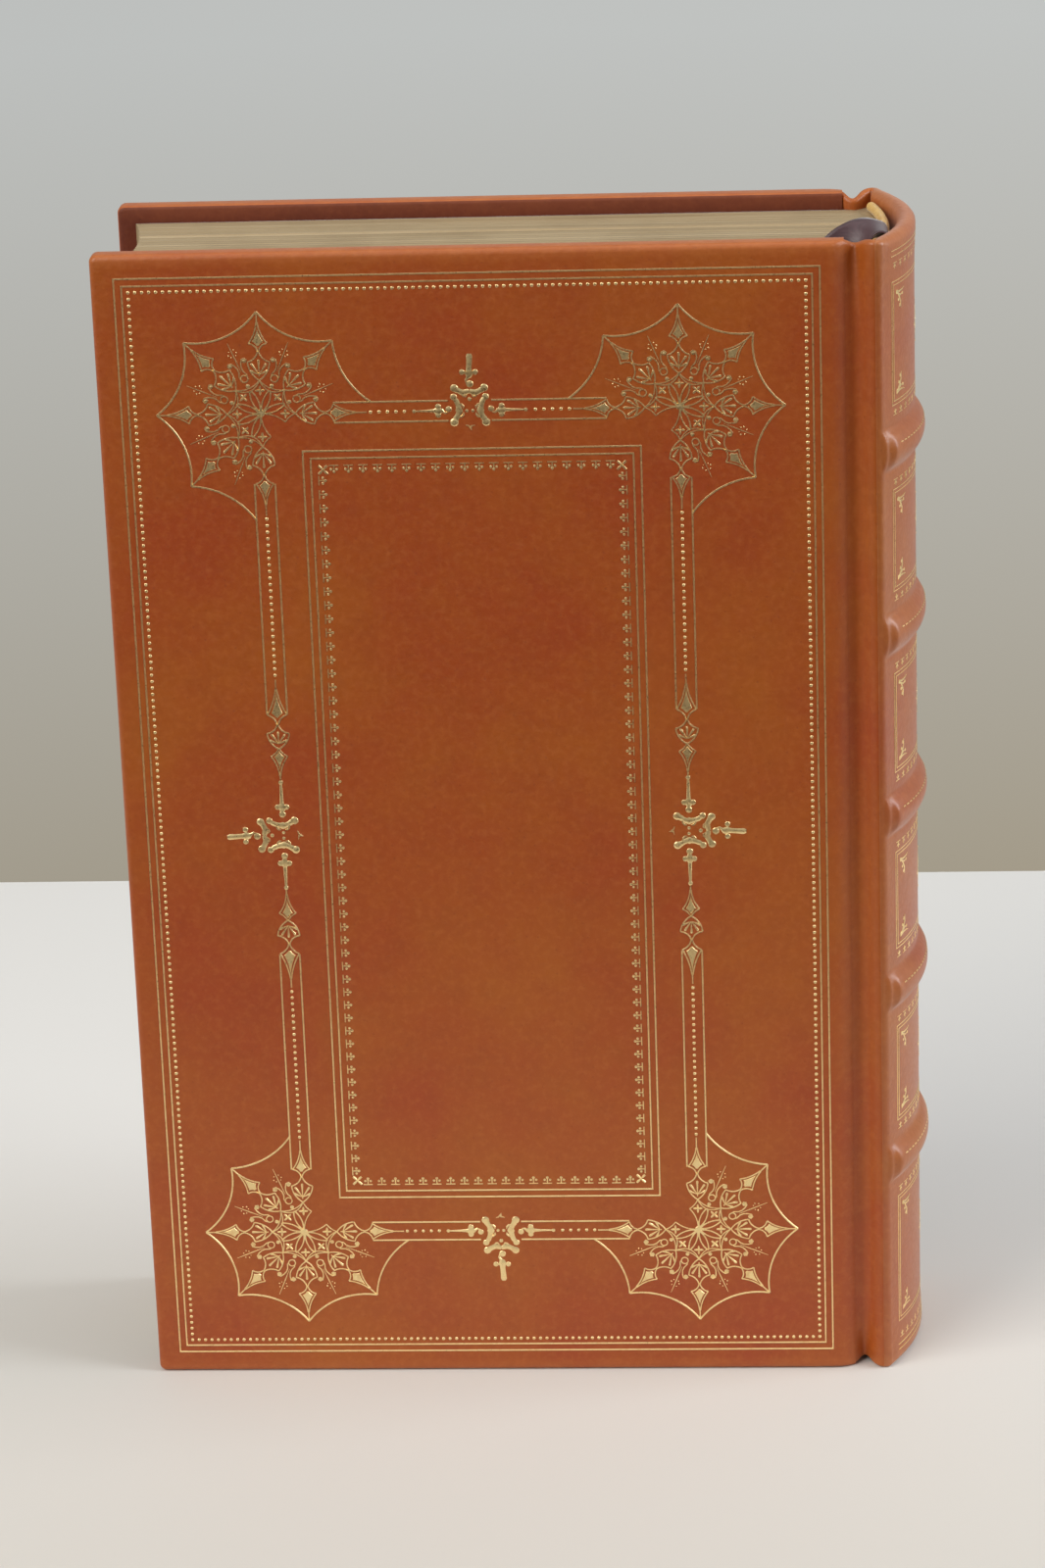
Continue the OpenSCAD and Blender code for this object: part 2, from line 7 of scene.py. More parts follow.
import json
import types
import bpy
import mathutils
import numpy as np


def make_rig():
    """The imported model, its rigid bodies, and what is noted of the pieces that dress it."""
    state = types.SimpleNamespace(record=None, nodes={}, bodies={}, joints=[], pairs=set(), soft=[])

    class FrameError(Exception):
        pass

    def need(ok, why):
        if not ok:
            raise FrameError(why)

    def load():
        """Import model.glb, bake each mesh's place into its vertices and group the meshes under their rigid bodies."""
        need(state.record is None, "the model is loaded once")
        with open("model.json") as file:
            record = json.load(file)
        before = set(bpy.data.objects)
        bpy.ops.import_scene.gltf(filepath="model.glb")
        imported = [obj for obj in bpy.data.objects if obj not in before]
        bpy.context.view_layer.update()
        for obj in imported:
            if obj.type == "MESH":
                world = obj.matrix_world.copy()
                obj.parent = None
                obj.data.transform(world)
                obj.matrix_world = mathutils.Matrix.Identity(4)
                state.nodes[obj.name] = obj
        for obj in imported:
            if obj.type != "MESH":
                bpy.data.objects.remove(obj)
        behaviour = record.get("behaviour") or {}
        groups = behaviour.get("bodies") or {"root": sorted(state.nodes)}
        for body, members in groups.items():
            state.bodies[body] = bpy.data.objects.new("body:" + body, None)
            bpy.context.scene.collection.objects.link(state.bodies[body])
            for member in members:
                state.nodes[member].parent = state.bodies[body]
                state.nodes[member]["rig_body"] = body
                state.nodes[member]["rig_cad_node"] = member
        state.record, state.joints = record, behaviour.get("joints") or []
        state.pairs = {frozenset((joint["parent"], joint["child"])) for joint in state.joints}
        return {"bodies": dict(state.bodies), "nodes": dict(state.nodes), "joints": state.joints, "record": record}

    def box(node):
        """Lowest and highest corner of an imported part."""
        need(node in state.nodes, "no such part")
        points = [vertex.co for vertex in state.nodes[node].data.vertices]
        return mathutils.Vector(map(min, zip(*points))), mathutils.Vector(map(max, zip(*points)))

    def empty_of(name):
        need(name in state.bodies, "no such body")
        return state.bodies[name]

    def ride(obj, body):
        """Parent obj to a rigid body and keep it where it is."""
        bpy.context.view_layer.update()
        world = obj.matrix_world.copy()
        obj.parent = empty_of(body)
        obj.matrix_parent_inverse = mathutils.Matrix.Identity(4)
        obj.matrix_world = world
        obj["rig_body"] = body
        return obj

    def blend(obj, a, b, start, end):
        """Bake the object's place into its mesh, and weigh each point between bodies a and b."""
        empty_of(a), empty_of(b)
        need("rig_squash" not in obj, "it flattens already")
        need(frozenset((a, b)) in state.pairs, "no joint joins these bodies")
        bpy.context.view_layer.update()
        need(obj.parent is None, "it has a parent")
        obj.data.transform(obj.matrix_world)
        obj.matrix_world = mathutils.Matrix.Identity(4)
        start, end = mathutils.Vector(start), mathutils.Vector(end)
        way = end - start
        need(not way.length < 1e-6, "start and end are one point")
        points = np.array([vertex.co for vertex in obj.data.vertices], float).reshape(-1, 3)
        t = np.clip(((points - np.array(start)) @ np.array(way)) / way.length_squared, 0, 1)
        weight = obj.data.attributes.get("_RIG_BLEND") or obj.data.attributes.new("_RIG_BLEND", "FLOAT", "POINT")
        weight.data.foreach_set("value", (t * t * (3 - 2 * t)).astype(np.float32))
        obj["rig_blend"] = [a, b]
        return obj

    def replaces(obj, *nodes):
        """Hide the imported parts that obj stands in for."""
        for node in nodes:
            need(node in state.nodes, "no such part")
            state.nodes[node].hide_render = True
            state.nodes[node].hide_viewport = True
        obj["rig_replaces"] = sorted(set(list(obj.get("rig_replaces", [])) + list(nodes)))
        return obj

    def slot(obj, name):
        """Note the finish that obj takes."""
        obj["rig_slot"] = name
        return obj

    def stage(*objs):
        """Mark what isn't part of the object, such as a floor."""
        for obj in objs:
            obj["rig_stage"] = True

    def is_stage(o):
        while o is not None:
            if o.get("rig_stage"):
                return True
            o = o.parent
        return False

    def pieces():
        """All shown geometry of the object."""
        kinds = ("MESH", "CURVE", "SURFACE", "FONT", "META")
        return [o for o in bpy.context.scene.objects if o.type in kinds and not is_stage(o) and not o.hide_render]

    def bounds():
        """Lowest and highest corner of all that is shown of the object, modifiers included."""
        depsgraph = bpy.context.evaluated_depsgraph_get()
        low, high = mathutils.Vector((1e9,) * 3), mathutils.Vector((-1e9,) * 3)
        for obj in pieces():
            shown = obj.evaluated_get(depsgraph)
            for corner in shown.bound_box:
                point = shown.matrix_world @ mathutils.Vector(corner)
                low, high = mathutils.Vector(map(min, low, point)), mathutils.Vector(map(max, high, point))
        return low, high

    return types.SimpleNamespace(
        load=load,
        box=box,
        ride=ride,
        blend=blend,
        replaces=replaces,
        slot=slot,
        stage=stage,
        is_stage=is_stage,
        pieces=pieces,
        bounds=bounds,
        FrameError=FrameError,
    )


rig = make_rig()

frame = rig.load()

import json
import logging
import math
import random
from contextlib import contextmanager
from dataclasses import dataclass, field
from enum import Enum
from typing import Callable, Iterator, Sequence

import bmesh
import bpy
from mathutils import Matrix, Vector, noise
from mathutils.geometry import tessellate_polygon

LOG = logging.getLogger("book")
MM = 0.001
FULL_TURN = 6.2832

# Short names for types and for the kinds of socket
Point2 = tuple[float, float]
Point3 = tuple[float, float, float]
Colour = tuple[float, float, float, float]
Place = Callable[[float, float, float], Point3]
Piece = bpy.types.Object
Material = bpy.types.Material
Tree = bpy.types.NodeTree
Node = bpy.types.Node
Socket = bpy.types.NodeSocket
VECTOR, VALUE = "NodeSocketVector", "NodeSocketFloat"
THING, PAINT = "NodeSocketObject", "NodeSocketMaterial"

# Angles along a folded rim, in degrees, and the four ways to mirror a corner
BENDS = (22, 45, 68, 90, 112, 135, 158)
MIRRORS = ((False, False), (False, True), (True, False), (True, True))


class Side(Enum):
    """The two covers, with the sign of Y that each lies on."""

    BACK = -1
    FRONT = 1

    @property
    def label(self) -> str:
        """The word that starts the names of this side's pieces."""
        return self.name.lower()


# Meshes


@contextmanager
def edited(mesh: bpy.types.Mesh) -> Iterator[bmesh.types.BMesh]:
    """Opens a mesh for changes and writes them back."""
    work = bmesh.new()
    work.from_mesh(mesh)
    yield work
    work.to_mesh(mesh)
    work.free()


def linked(name: str, data: bpy.types.ID) -> Piece:
    """A new object in the scene."""
    piece = bpy.data.objects.new(name, data)
    bpy.context.scene.collection.objects.link(piece)
    return piece


class MeshBuilder:
    """Collects points in millimetres and faces, and makes one mesh object of them."""

    def __init__(self) -> None:
        """Starts with no points."""
        self.points: list[Point3] = []
        self.faces: list[tuple[int, ...]] = []

    def add(self, points: Sequence[Point3], faces: Sequence[Sequence[int]]) -> None:
        """Adds points with faces that count from the first of them.

        Args:
            points: the new points.
            faces: each face as indices into points.
        """
        base = len(self.points)
        self.points.extend(tuple(p) for p in points)
        self.faces.extend(tuple(base + i for i in f) for f in faces)

    def sheet(self, rows: Sequence[Sequence[Point3]], ring: bool = False) -> int:
        """Adds a sheet of quads between rows of equal length.

        Args:
            rows: the rows of points.
            ring: joins the end of each row to its start.

        Returns:
            The index of the first new point.
        """
        base, count = len(self.points), len(rows[0])
        for row in rows:
            self.points.extend(tuple(p) for p in row)
        steps = count if ring else count - 1
        for j in range(len(rows) - 1):
            for i in range(steps):
                k = (i + 1) % count
                a = base + j * count
                self.faces.append((a + i, a + k, a + count + k, a + count + i))
        return base

    def cap(self, start: int, count: int) -> None:
        """Adds one face over a run of points."""
        self.faces.append(tuple(range(start, start + count)))

    def build(self, name: str, outward: bool = True, weld: float = 0.0) -> Piece:
        """Makes the mesh object, in metres, with its faces outwards.

        Args:
            name: the piece's name.
            outward: turns the faces of closed shells outwards.
            weld: joins points that lie closer than this, in millimetres.

        Returns:
            The new object.
        """
        mesh = bpy.data.meshes.new(name)
        mesh.from_pydata([(x * MM, y * MM, z * MM) for x, y, z in self.points], [], self.faces)
        with edited(mesh) as work:
            if weld:
                bmesh.ops.remove_doubles(work, verts=work.verts, dist=weld * MM)
            if outward:
                bmesh.ops.recalc_face_normals(work, faces=work.faces)
            for face in work.faces:
                face.smooth = True
        mesh.validate()
        return linked(name, mesh)


def dress(piece: Piece, material: Material) -> Piece:
    """Gives a piece one material.

    Args:
        piece: the piece.
        material: its material.

    Returns:
        The piece.
    """
    piece.data.materials.clear()
    piece.data.materials.append(material)
    return piece


def sharpen(piece: Piece, degrees: float) -> Piece:
    """Makes the edges of a piece sharp where its faces meet at more than an angle.

    Args:
        piece: the piece.
        degrees: the angle.

    Returns:
        The piece.
    """
    with edited(piece.data) as work:
        for edge in work.edges:
            if len(edge.link_faces) == 2 and edge.calc_face_angle(0.0) > math.radians(degrees):
                edge.smooth = False
    return piece


def sheet_piece(name: str, rows: Sequence[Sequence[Point3]]) -> Piece:
    """A piece of one open sheet between rows of points.

    Args:
        name: the piece's name.
        rows: rows of points, all of one length, in millimetres.

    Returns:
        The piece.
    """
    builder = MeshBuilder()
    builder.sheet(rows)
    return builder.build(name, outward=False)


def face_y(piece: Piece, sign: int, beyond: float = 0.0) -> None:
    """Turns a sheet so that its faces look towards one side of Y.

    Args:
        piece: the sheet.
        sign: the side, 1 or -1.
        beyond: counts only the faces that lie further than this from the middle, in millimetres.
    """
    total = sum(p.normal.y * p.area for p in piece.data.polygons if abs(p.center.y) >= beyond * MM)
    if total * sign < 0:
        piece.data.flip_normals()


def solidify(piece: Piece, thickness: float, offset: float = -1.0) -> Piece:
    """Gives a sheet its thickness, in millimetres, and keeps the result as its mesh.

    Args:
        piece: the sheet.
        thickness: how thick it gets.
        offset: -1 to grow behind its faces, 0 to both sides.

    Returns:
        The piece.
    """
    wall = piece.modifiers.new("wall", "SOLIDIFY")
    wall.thickness = thickness * MM
    wall.offset = offset
    return bake(piece)


def bake(piece: Piece) -> Piece:
    """Turns a piece with live modifiers into one with a plain mesh.

    Args:
        piece: the piece.

    Returns:
        The piece.
    """
    bpy.context.view_layer.update()
    shown = piece.evaluated_get(bpy.context.evaluated_depsgraph_get())
    mesh = bpy.data.meshes.new_from_object(shown)
    piece.modifiers.clear()
    piece.data = mesh
    return piece


def smoothstep(t: float) -> float:
    """A step from 0 to 1 with soft ends."""
    t = min(1.0, max(0.0, t))
    return t * t * (3 - 2 * t)


def spaced(start: float, end: float, count: int) -> list[float]:
    """Evenly spaced numbers, both ends included."""
    return [start + (end - start) * i / (count - 1) for i in range(count)]


def polar(r: float, degrees: float) -> Point2:
    """A point at a distance and an angle from the origin."""
    return r * math.cos(math.radians(degrees)), r * math.sin(math.radians(degrees))


def heading(line: Sequence[Point2], i: int) -> Vector:
    """The direction of a line at one of its points."""
    before, after = line[max(0, i - 1)], line[min(len(line) - 1, i + 1)]
    return Vector((after[0] - before[0], after[1] - before[1])).normalized()


def quarter(cx: float, cy: float, r: float, a0: float, a1: float, count: int) -> list[Point2]:
    """Points on an arc from angle a0 to a1, in degrees."""
    return [(cx + x, cy + y) for x, y in (polar(r, a) for a in spaced(a0, a1, count))]


def through(points: Sequence[Point2], steps: int) -> list[Point2]:
    """A smooth line through points.

    Args:
        points: what the line passes through.
        steps: how many stretches lie between two points.

    Returns:
        The points of the smooth line.
    """
    ends = [points[0], *points, points[-1]]
    line: list[Point2] = []
    for i in range(1, len(ends) - 2):
        p0, p1, p2, p3 = (Vector(p) for p in ends[i - 1 : i + 3])
        for k in range(steps):
            t = k / steps
            q = 0.5 * (
                2 * p1 + (p2 - p0) * t + (2 * p0 - 5 * p1 + 4 * p2 - p3) * t * t
                + (3 * p1 - p0 - 3 * p2 + p3) * t * t * t
            )
            line.append((q.x, q.y))
    line.append(tuple(points[-1]))
    return line


# Node trees


class Sheet:
    """Places nodes in a tree and links them."""

    def __init__(self, tree: Tree) -> None:
        """Works on one tree."""
        self.tree = tree

    def add(self, kind: str, inputs: dict | None = None, **settings: object) -> Node:
        """Adds a node.

        Args:
            kind: Blender's name of the node type.
            inputs: a value or an output for each named or numbered input.
            settings: the node's own properties.

        Returns:
            The node.
        """
        node = self.tree.nodes.new(kind)
        node.location = (180 * len(self.tree.nodes), 0)
        for key, value in settings.items():
            setattr(node, key, value)
        self.fill(node, inputs or {})
        return node

    def fill(self, node: Node, inputs: dict) -> None:
        """Links or sets several inputs of a node."""
        for key, value in inputs.items():
            self.put(node.inputs[key], value)

    def put(self, socket: Socket, value: object) -> None:
        """Links an output to an input, or sets the input's value.

        Args:
            socket: the input.
            value: an output or a plain value.
        """
        if isinstance(value, Socket):
            self.tree.links.new(value, socket)
        else:
            socket.default_value = value

    def math(self, operation: str, a: object, b: object = 0.0, c: object = 0.0) -> Socket:
        """The result of a Math node."""
        return self.add("ShaderNodeMath", {0: a, 1: b, 2: c}, operation=operation).outputs[0]

    def span(self, value: object, low: float, high: float, out_low: float, out_high: float) -> Socket:
        """A value mapped from one range to another, and held inside it.

        Args:
            value: the value.
            low: start of its range.
            high: end of its range.
            out_low: what the start becomes.
            out_high: what the end becomes.

        Returns:
            The mapped value.
        """
        node = self.add(
            "ShaderNodeMapRange",
            {"Value": value, "From Min": low, "From Max": high, "To Min": out_low, "To Max": out_high},
        )
        return node.outputs["Result"]

    def noise(self, vector: object, scale: float, detail: float = 3.0, rough: float = 0.5) -> Socket:
        """The value of a Noise Texture.

        Args:
            vector: the coordinates.
            scale: how often the pattern repeats in a metre.
            detail: how many finer layers it has.
            rough: how strong they are.

        Returns:
            The value.
        """
        return self.add(
            "ShaderNodeTexNoise",
            {"Vector": vector, "Scale": scale, "Detail": detail, "Roughness": rough},
        ).outputs["Fac"]

    def stretched(self, vector: object, scale: Point3) -> Socket:
        """Coordinates scaled along each axis."""
        return self.add("ShaderNodeMapping", {"Vector": vector, "Scale": scale}).outputs["Vector"]

    def mix(self, factor: object, a: object, b: object) -> Socket:
        """Two colours mixed."""
        return self.add("ShaderNodeMix", {0: factor, 6: a, 7: b}, data_type="RGBA").outputs[2]


def rgb(red: float, green: float, blue: float) -> Colour:
    """A screen colour, 0 to 255, as the linear colour that Blender uses.

    Args:
        red: share of red.
        green: share of green.
        blue: share of blue.

    Returns:
        The linear colour, with a fourth value of 1.
    """

    def linear(c: float) -> float:
        """One channel made linear."""
        c /= 255
        return c / 12.92 if c <= 0.04045 else ((c + 0.055) / 1.055) ** 2.4

    return linear(red), linear(green), linear(blue), 1.0


def add_inputs(tree: Tree, inputs: Sequence[tuple[str, str, object]]) -> None:
    """Gives a tree its inputs: name, socket type and default of each."""
    for label, kind, value in inputs:
        socket = tree.interface.new_socket(name=label, in_out="INPUT", socket_type=kind)
        if value is not None:
            socket.default_value = value


def effect(name: str, inputs: Sequence[tuple[str, str, object]], outputs: Sequence[str],
           draw: Callable[[Sheet, dict, dict], None]) -> Tree:
    """Makes a shader node group, once.

    Args:
        name: the group's name.
        inputs: name, socket type and default of each input.
        outputs: the names of its outputs, which are values.
        draw: fills the group; it is given the sheet, the input sockets and the output sockets.

    Returns:
        The group.
    """
    if name in bpy.data.node_groups:
        return bpy.data.node_groups[name]
    tree = bpy.data.node_groups.new(name, "ShaderNodeTree")
    add_inputs(tree, inputs)
    for label in outputs:
        tree.interface.new_socket(name=label, in_out="OUTPUT", socket_type=VALUE)
    sheet = Sheet(tree)
    start, end = sheet.add("NodeGroupInput"), sheet.add("NodeGroupOutput")
    draw(sheet, start.outputs, end.inputs)
    return tree


def grain_group() -> Tree:
    """Pebbled leather grain with pores and fine fibres.

    Returns:
        The group.
    """

    def draw(s: Sheet, i: dict, o: dict) -> None:
        """Fills the group.

        Args:
            s: the sheet of the group.
            i: its input sockets.
            o: its output sockets.
        """
        bent = s.add("ShaderNodeTexNoise", {"Vector": i["Vector"], "Scale": 260.0, "Detail": 2.0})
        shift = s.add("ShaderNodeVectorMath", {0: bent.outputs["Color"], "Scale": 0.0016}, operation="SCALE")
        place = s.add("ShaderNodeVectorMath", {0: i["Vector"], 1: shift.outputs[0]}, operation="ADD")
        cells = s.add("ShaderNodeTexVoronoi", {"Vector": place.outputs[0], "Scale": i["Cells"]},
                      feature="SMOOTH_F1")
        pebble = s.span(cells.outputs["Distance"], 0.1, 0.75, 1.0, 0.0)
        fine = s.noise(i["Vector"], 2600.0, 4.0, 0.6)
        pores = s.add("ShaderNodeTexVoronoi", {"Vector": i["Vector"], "Scale": 520.0}, feature="F1")
        pore = s.span(pores.outputs["Distance"], 0.02, 0.16, 0.0, 1.0)
        small = s.math("MULTIPLY_ADD", fine, 0.3, s.math("MULTIPLY", pore, 0.3))
        height = s.math("MULTIPLY_ADD", pebble, 0.55, small)
        s.put(o["Height"], height)
        s.put(o["Pores"], s.math("SUBTRACT", 1.0, pore))

    inputs = [("Vector", VECTOR, None), ("Cells", VALUE, 1100.0)]
    return effect("leather grain", inputs, ["Height", "Pores"], draw)


def mottle_group() -> Tree:
    """Soft patches where the dye took more or less.

    Returns:
        The group.
    """

    def draw(s: Sheet, i: dict, o: dict) -> None:
        """Fills the group.

        Args:
            s: the sheet of the group.
            i: its input sockets.
            o: its output sockets.
        """
        large = s.noise(i["Vector"], i["Scale"], 4.0, 0.55)
        small = s.noise(i["Vector"], s.math("MULTIPLY", i["Scale"], 6.5), 5.0, 0.65)
        fibres = s.noise(i["Vector"], 640.0, 4.0, 0.6)
        s.put(o["Patches"], s.span(large, 0.32, 0.68, 0.0, 1.0))
        s.put(o["Flecks"], s.span(small, 0.35, 0.7, 0.0, 1.0))
        s.put(o["Fibres"], s.span(fibres, 0.3, 0.72, 0.0, 1.0))

    return effect("dye mottling", [("Vector", VECTOR, None), ("Scale", VALUE, 22.0)],
                  ["Patches", "Flecks", "Fibres"], draw)


def rub_group() -> Tree:
    """How near a point is to the head or tail of the book, as the mask of a painted highlight on the lit edges there.

    Returns:
        The group.
    """

    def draw(s: Sheet, i: dict, o: dict) -> None:
        """Fills the group.

        Args:
            s: the sheet of the group.
            i: its input sockets.
            o: its output sockets.
        """
        parts = s.add("ShaderNodeSeparateXYZ", {0: i["Vector"]})
        up = s.math("ABSOLUTE", s.math("SUBTRACT", parts.outputs["Z"], i["Middle"]))
        near = s.span(up, 0.118, 0.1215, 0.0, 1.0)
        rough = s.noise(i["Vector"], 170.0, 4.0, 0.7)
        s.put(o["Rub"], s.math("MULTIPLY", near, s.span(rough, 0.3, 0.7, 0.35, 1.0)))

    return effect("edge rub", [("Vector", VECTOR, None), ("Middle", VALUE, 0.121)],
                  ["Rub"], draw)


def weave_group() -> Tree:
    """A plain weave of fine threads in all three directions.

    Returns:
        The group.
    """

    def draw(s: Sheet, i: dict, o: dict) -> None:
        """Fills the group.

        Args:
            s: the sheet of the group.
            i: its input sockets.
            o: its output sockets.
        """
        parts = s.add("ShaderNodeSeparateXYZ", {0: i["Vector"]})
        waves = []
        for axis in ("X", "Y", "Z"):
            turns = s.math("MULTIPLY", i["Threads"], FULL_TURN)
            waves.append(s.math("SINE", s.math("MULTIPLY", parts.outputs[axis], turns)))
        cloth = s.math("MULTIPLY", s.math("ADD", waves[0], waves[1]), waves[2])
        slub = s.noise(s.stretched(i["Vector"], (40.0, 40.0, 1500.0)), 1.0, 2.0)
        s.put(o["Height"], s.span(cloth, -1.4, 1.4, 0.0, 1.0))
        s.put(o["Slub"], s.span(slub, 0.3, 0.7, 0.0, 1.0))

    return effect("plain weave", [("Vector", VECTOR, None), ("Threads", VALUE, 2400.0)],
                  ["Height", "Slub"], draw)


# Finishes


class Finish:
    """What all finishes share: a new material with its surface shader."""

    def start(self, name: str) -> tuple[Material, Sheet, Node, Socket]:
        """Makes an empty material.

        Args:
            name: the material's name.

        Returns:
            The material, its sheet, its surface shader and its Object coordinates.
        """
        material = bpy.data.materials.new(name)
        material.use_nodes = True
        tree = material.node_tree
        tree.nodes.clear()
        sheet = Sheet(tree)
        output = sheet.add("ShaderNodeOutputMaterial")
        shader = sheet.add("ShaderNodeBsdfPrincipled")
        tree.links.new(shader.outputs["BSDF"], output.inputs["Surface"])
        place = sheet.add("ShaderNodeTexCoord").outputs["Object"]
        return material, sheet, shader, place

    def group(self, sheet: Sheet, tree: Tree, **inputs: object) -> dict:
        """Places a shared effect and returns its outputs.

        Args:
            sheet: the sheet of the material.
            tree: the group.
            inputs: a value or an output for each named input.

        Returns:
            Its outputs.
        """
        node = sheet.add("ShaderNodeGroup", node_tree=tree)
        sheet.fill(node, inputs)
        return node.outputs

    def bump(self, sheet: Sheet, shader: Node, height: object, depth: float) -> None:
        """Gives the surface a relief of some depth, in millimetres."""
        node = sheet.add("ShaderNodeBump", {"Height": height, "Distance": depth * MM, "Strength": 1.0})
        sheet.put(shader.inputs["Normal"], node.outputs["Normal"])


@dataclass(frozen=True)
class Goatskin(Finish):
    """Dyed and polished goatskin."""

    name: str
    base: Colour
    red: Colour
    dark: Colour
    # A pale colour for fine fibres, also used for the painted highlight on the head and tail edges.
    rubbed: Colour
    roughness: float = 0.42
    gloss: float = 0.5
    relief: float = 0.05
    sheen: float = 0.1

    def make(self) -> Material:
        """The leather as a material.

        Returns:
            The material.
        """
        material, s, shader, place = self.start(self.name)
        grain = self.group(s, grain_group(), Vector=place)
        dye = self.group(s, mottle_group(), Vector=place, Scale=30.0)
        edge_highlight = self.group(s, rub_group(), Vector=place)
        colour = s.mix(s.span(dye["Patches"], 0.0, 1.0, 0.0, 0.9), self.base, self.red)
        colour = s.mix(s.span(dye["Flecks"], 0.3, 1.0, 0.0, 0.14), colour, self.dark)
        colour = s.mix(s.span(dye["Fibres"], 0.4, 1.0, 0.0, 0.2), colour, self.rubbed)
        colour = s.mix(s.span(grain["Pores"], 0.0, 1.0, 0.0, 0.35), colour, self.dark)
        # Painted highlight: the lit head and tail edges are painted paler.
        colour = s.mix(s.span(edge_highlight["Rub"], 0.0, 1.0, 0.0, 0.55), colour, self.rubbed)
        rough = s.span(grain["Height"], 0.2, 1.0, self.roughness + 0.1, self.roughness - 0.06)
        s.fill(shader, {"Base Color": colour, "Roughness": rough, "Specular IOR Level": self.gloss,
                        "Sheen Weight": self.sheen, "Sheen Roughness": 0.35,
                        "Sheen Tint": rgb(255, 226, 214)})
        self.bump(s, shader, grain["Height"], self.relief)
        return material


@dataclass(frozen=True)
class GoldLeaf(Finish):
    """Gold leaf pressed on leather."""

    name: str
    bright: Colour
    worn: Colour
    roughness: float = 0.3

    def make(self) -> Material:
        """The gold as a material.

        Returns:
            The material.
        """
        material, s, shader, place = self.start(self.name)
        thin = s.noise(place, 420.0, 5.0, 0.7)
        dimple = s.noise(place, 2300.0, 3.0, 0.6)
        colour = s.mix(s.span(thin, 0.5, 0.78, 0.0, 0.7), self.bright, self.worn)
        rough = s.span(dimple, 0.3, 0.7, self.roughness - 0.06, self.roughness + 0.14)
        s.fill(shader, {"Base Color": colour, "Metallic": s.span(thin, 0.55, 0.85, 1.0, 0.55),
                        "Roughness": rough})
        self.bump(s, shader, dimple, 0.02)
        return material


@dataclass(frozen=True)
class GiltPaper(Finish):
    """The edges of many leaves under matt gold."""

    name: str
    gilt: Colour
    paper: Colour
    shade: Colour

    def make(self) -> Material:
        """The page edges as a material.

        Returns:
            The material.
        """
        material, s, shader, place = self.start(self.name)
        leaves = s.noise(s.stretched(place, (14.0, 5200.0, 14.0)), 1.0, 3.0, 0.7)
        gatherings = s.noise(s.stretched(place, (5.0, 700.0, 5.0)), 1.0, 2.0, 0.5)
        cloud = s.noise(place, 60.0, 4.0)
        colour = s.mix(s.span(leaves, 0.35, 0.7, 0.0, 0.85), self.gilt, self.paper)
        colour = s.mix(s.span(gatherings, 0.52, 0.75, 0.0, 0.6), colour, self.shade)
        colour = s.mix(s.span(cloud, 0.45, 0.75, 0.0, 0.3), colour, self.shade)
        s.fill(shader, {"Base Color": colour, "Metallic": s.span(leaves, 0.35, 0.6, 0.3, 0.05),
                        "Roughness": s.span(leaves, 0.3, 0.7, 0.45, 0.62)})
        self.bump(s, shader, leaves, 0.06)
        return material


@dataclass(frozen=True)
class Silk(Finish):
    """Woven silk or cotton."""

    name: str
    thread: Colour
    shadow: Colour
    threads: float = 2400.0
    roughness: float = 0.5
    sheen: float = 0.3
    relief: float = 0.04

    def make(self) -> Material:
        """The cloth as a material.

        Returns:
            The material.
        """
        material, s, shader, place = self.start(self.name)
        weave = self.group(s, weave_group(), Vector=place, Threads=self.threads)
        water = s.noise(s.stretched(place, (90.0, 90.0, 14.0)), 1.0, 3.0, 0.6)
        colour = s.mix(s.span(weave["Height"], 0.2, 0.8, 0.75, 0.0), self.thread, self.shadow)
        colour = s.mix(s.span(water, 0.42, 0.6, 0.0, 0.35), colour, self.shadow)
        rough = s.span(weave["Slub"], 0.0, 1.0, self.roughness - 0.08, self.roughness + 0.12)
        s.fill(shader, {"Base Color": colour, "Roughness": rough, "Sheen Weight": self.sheen,
                        "Sheen Roughness": 0.35})
        self.bump(s, shader, weave["Height"], self.relief)
        return material


@dataclass(frozen=True)
class BookBoard(Finish):
    """Dense grey board of pressed fibres."""

    name: str
    tone: Colour
    fleck: Colour

    def make(self) -> Material:
        """The board as a material.

        Returns:
            The material.
        """
        material, s, shader, place = self.start(self.name)
        fibre = s.noise(s.stretched(place, (1.0, 3.0, 1.0)), 900.0, 4.0, 0.7)
        colour = s.mix(s.span(fibre, 0.4, 0.7, 0.0, 0.8), self.tone, self.fleck)
        s.fill(shader, {"Base Color": colour, "Roughness": 0.85})
        self.bump(s, shader, fibre, 0.05)
        return material


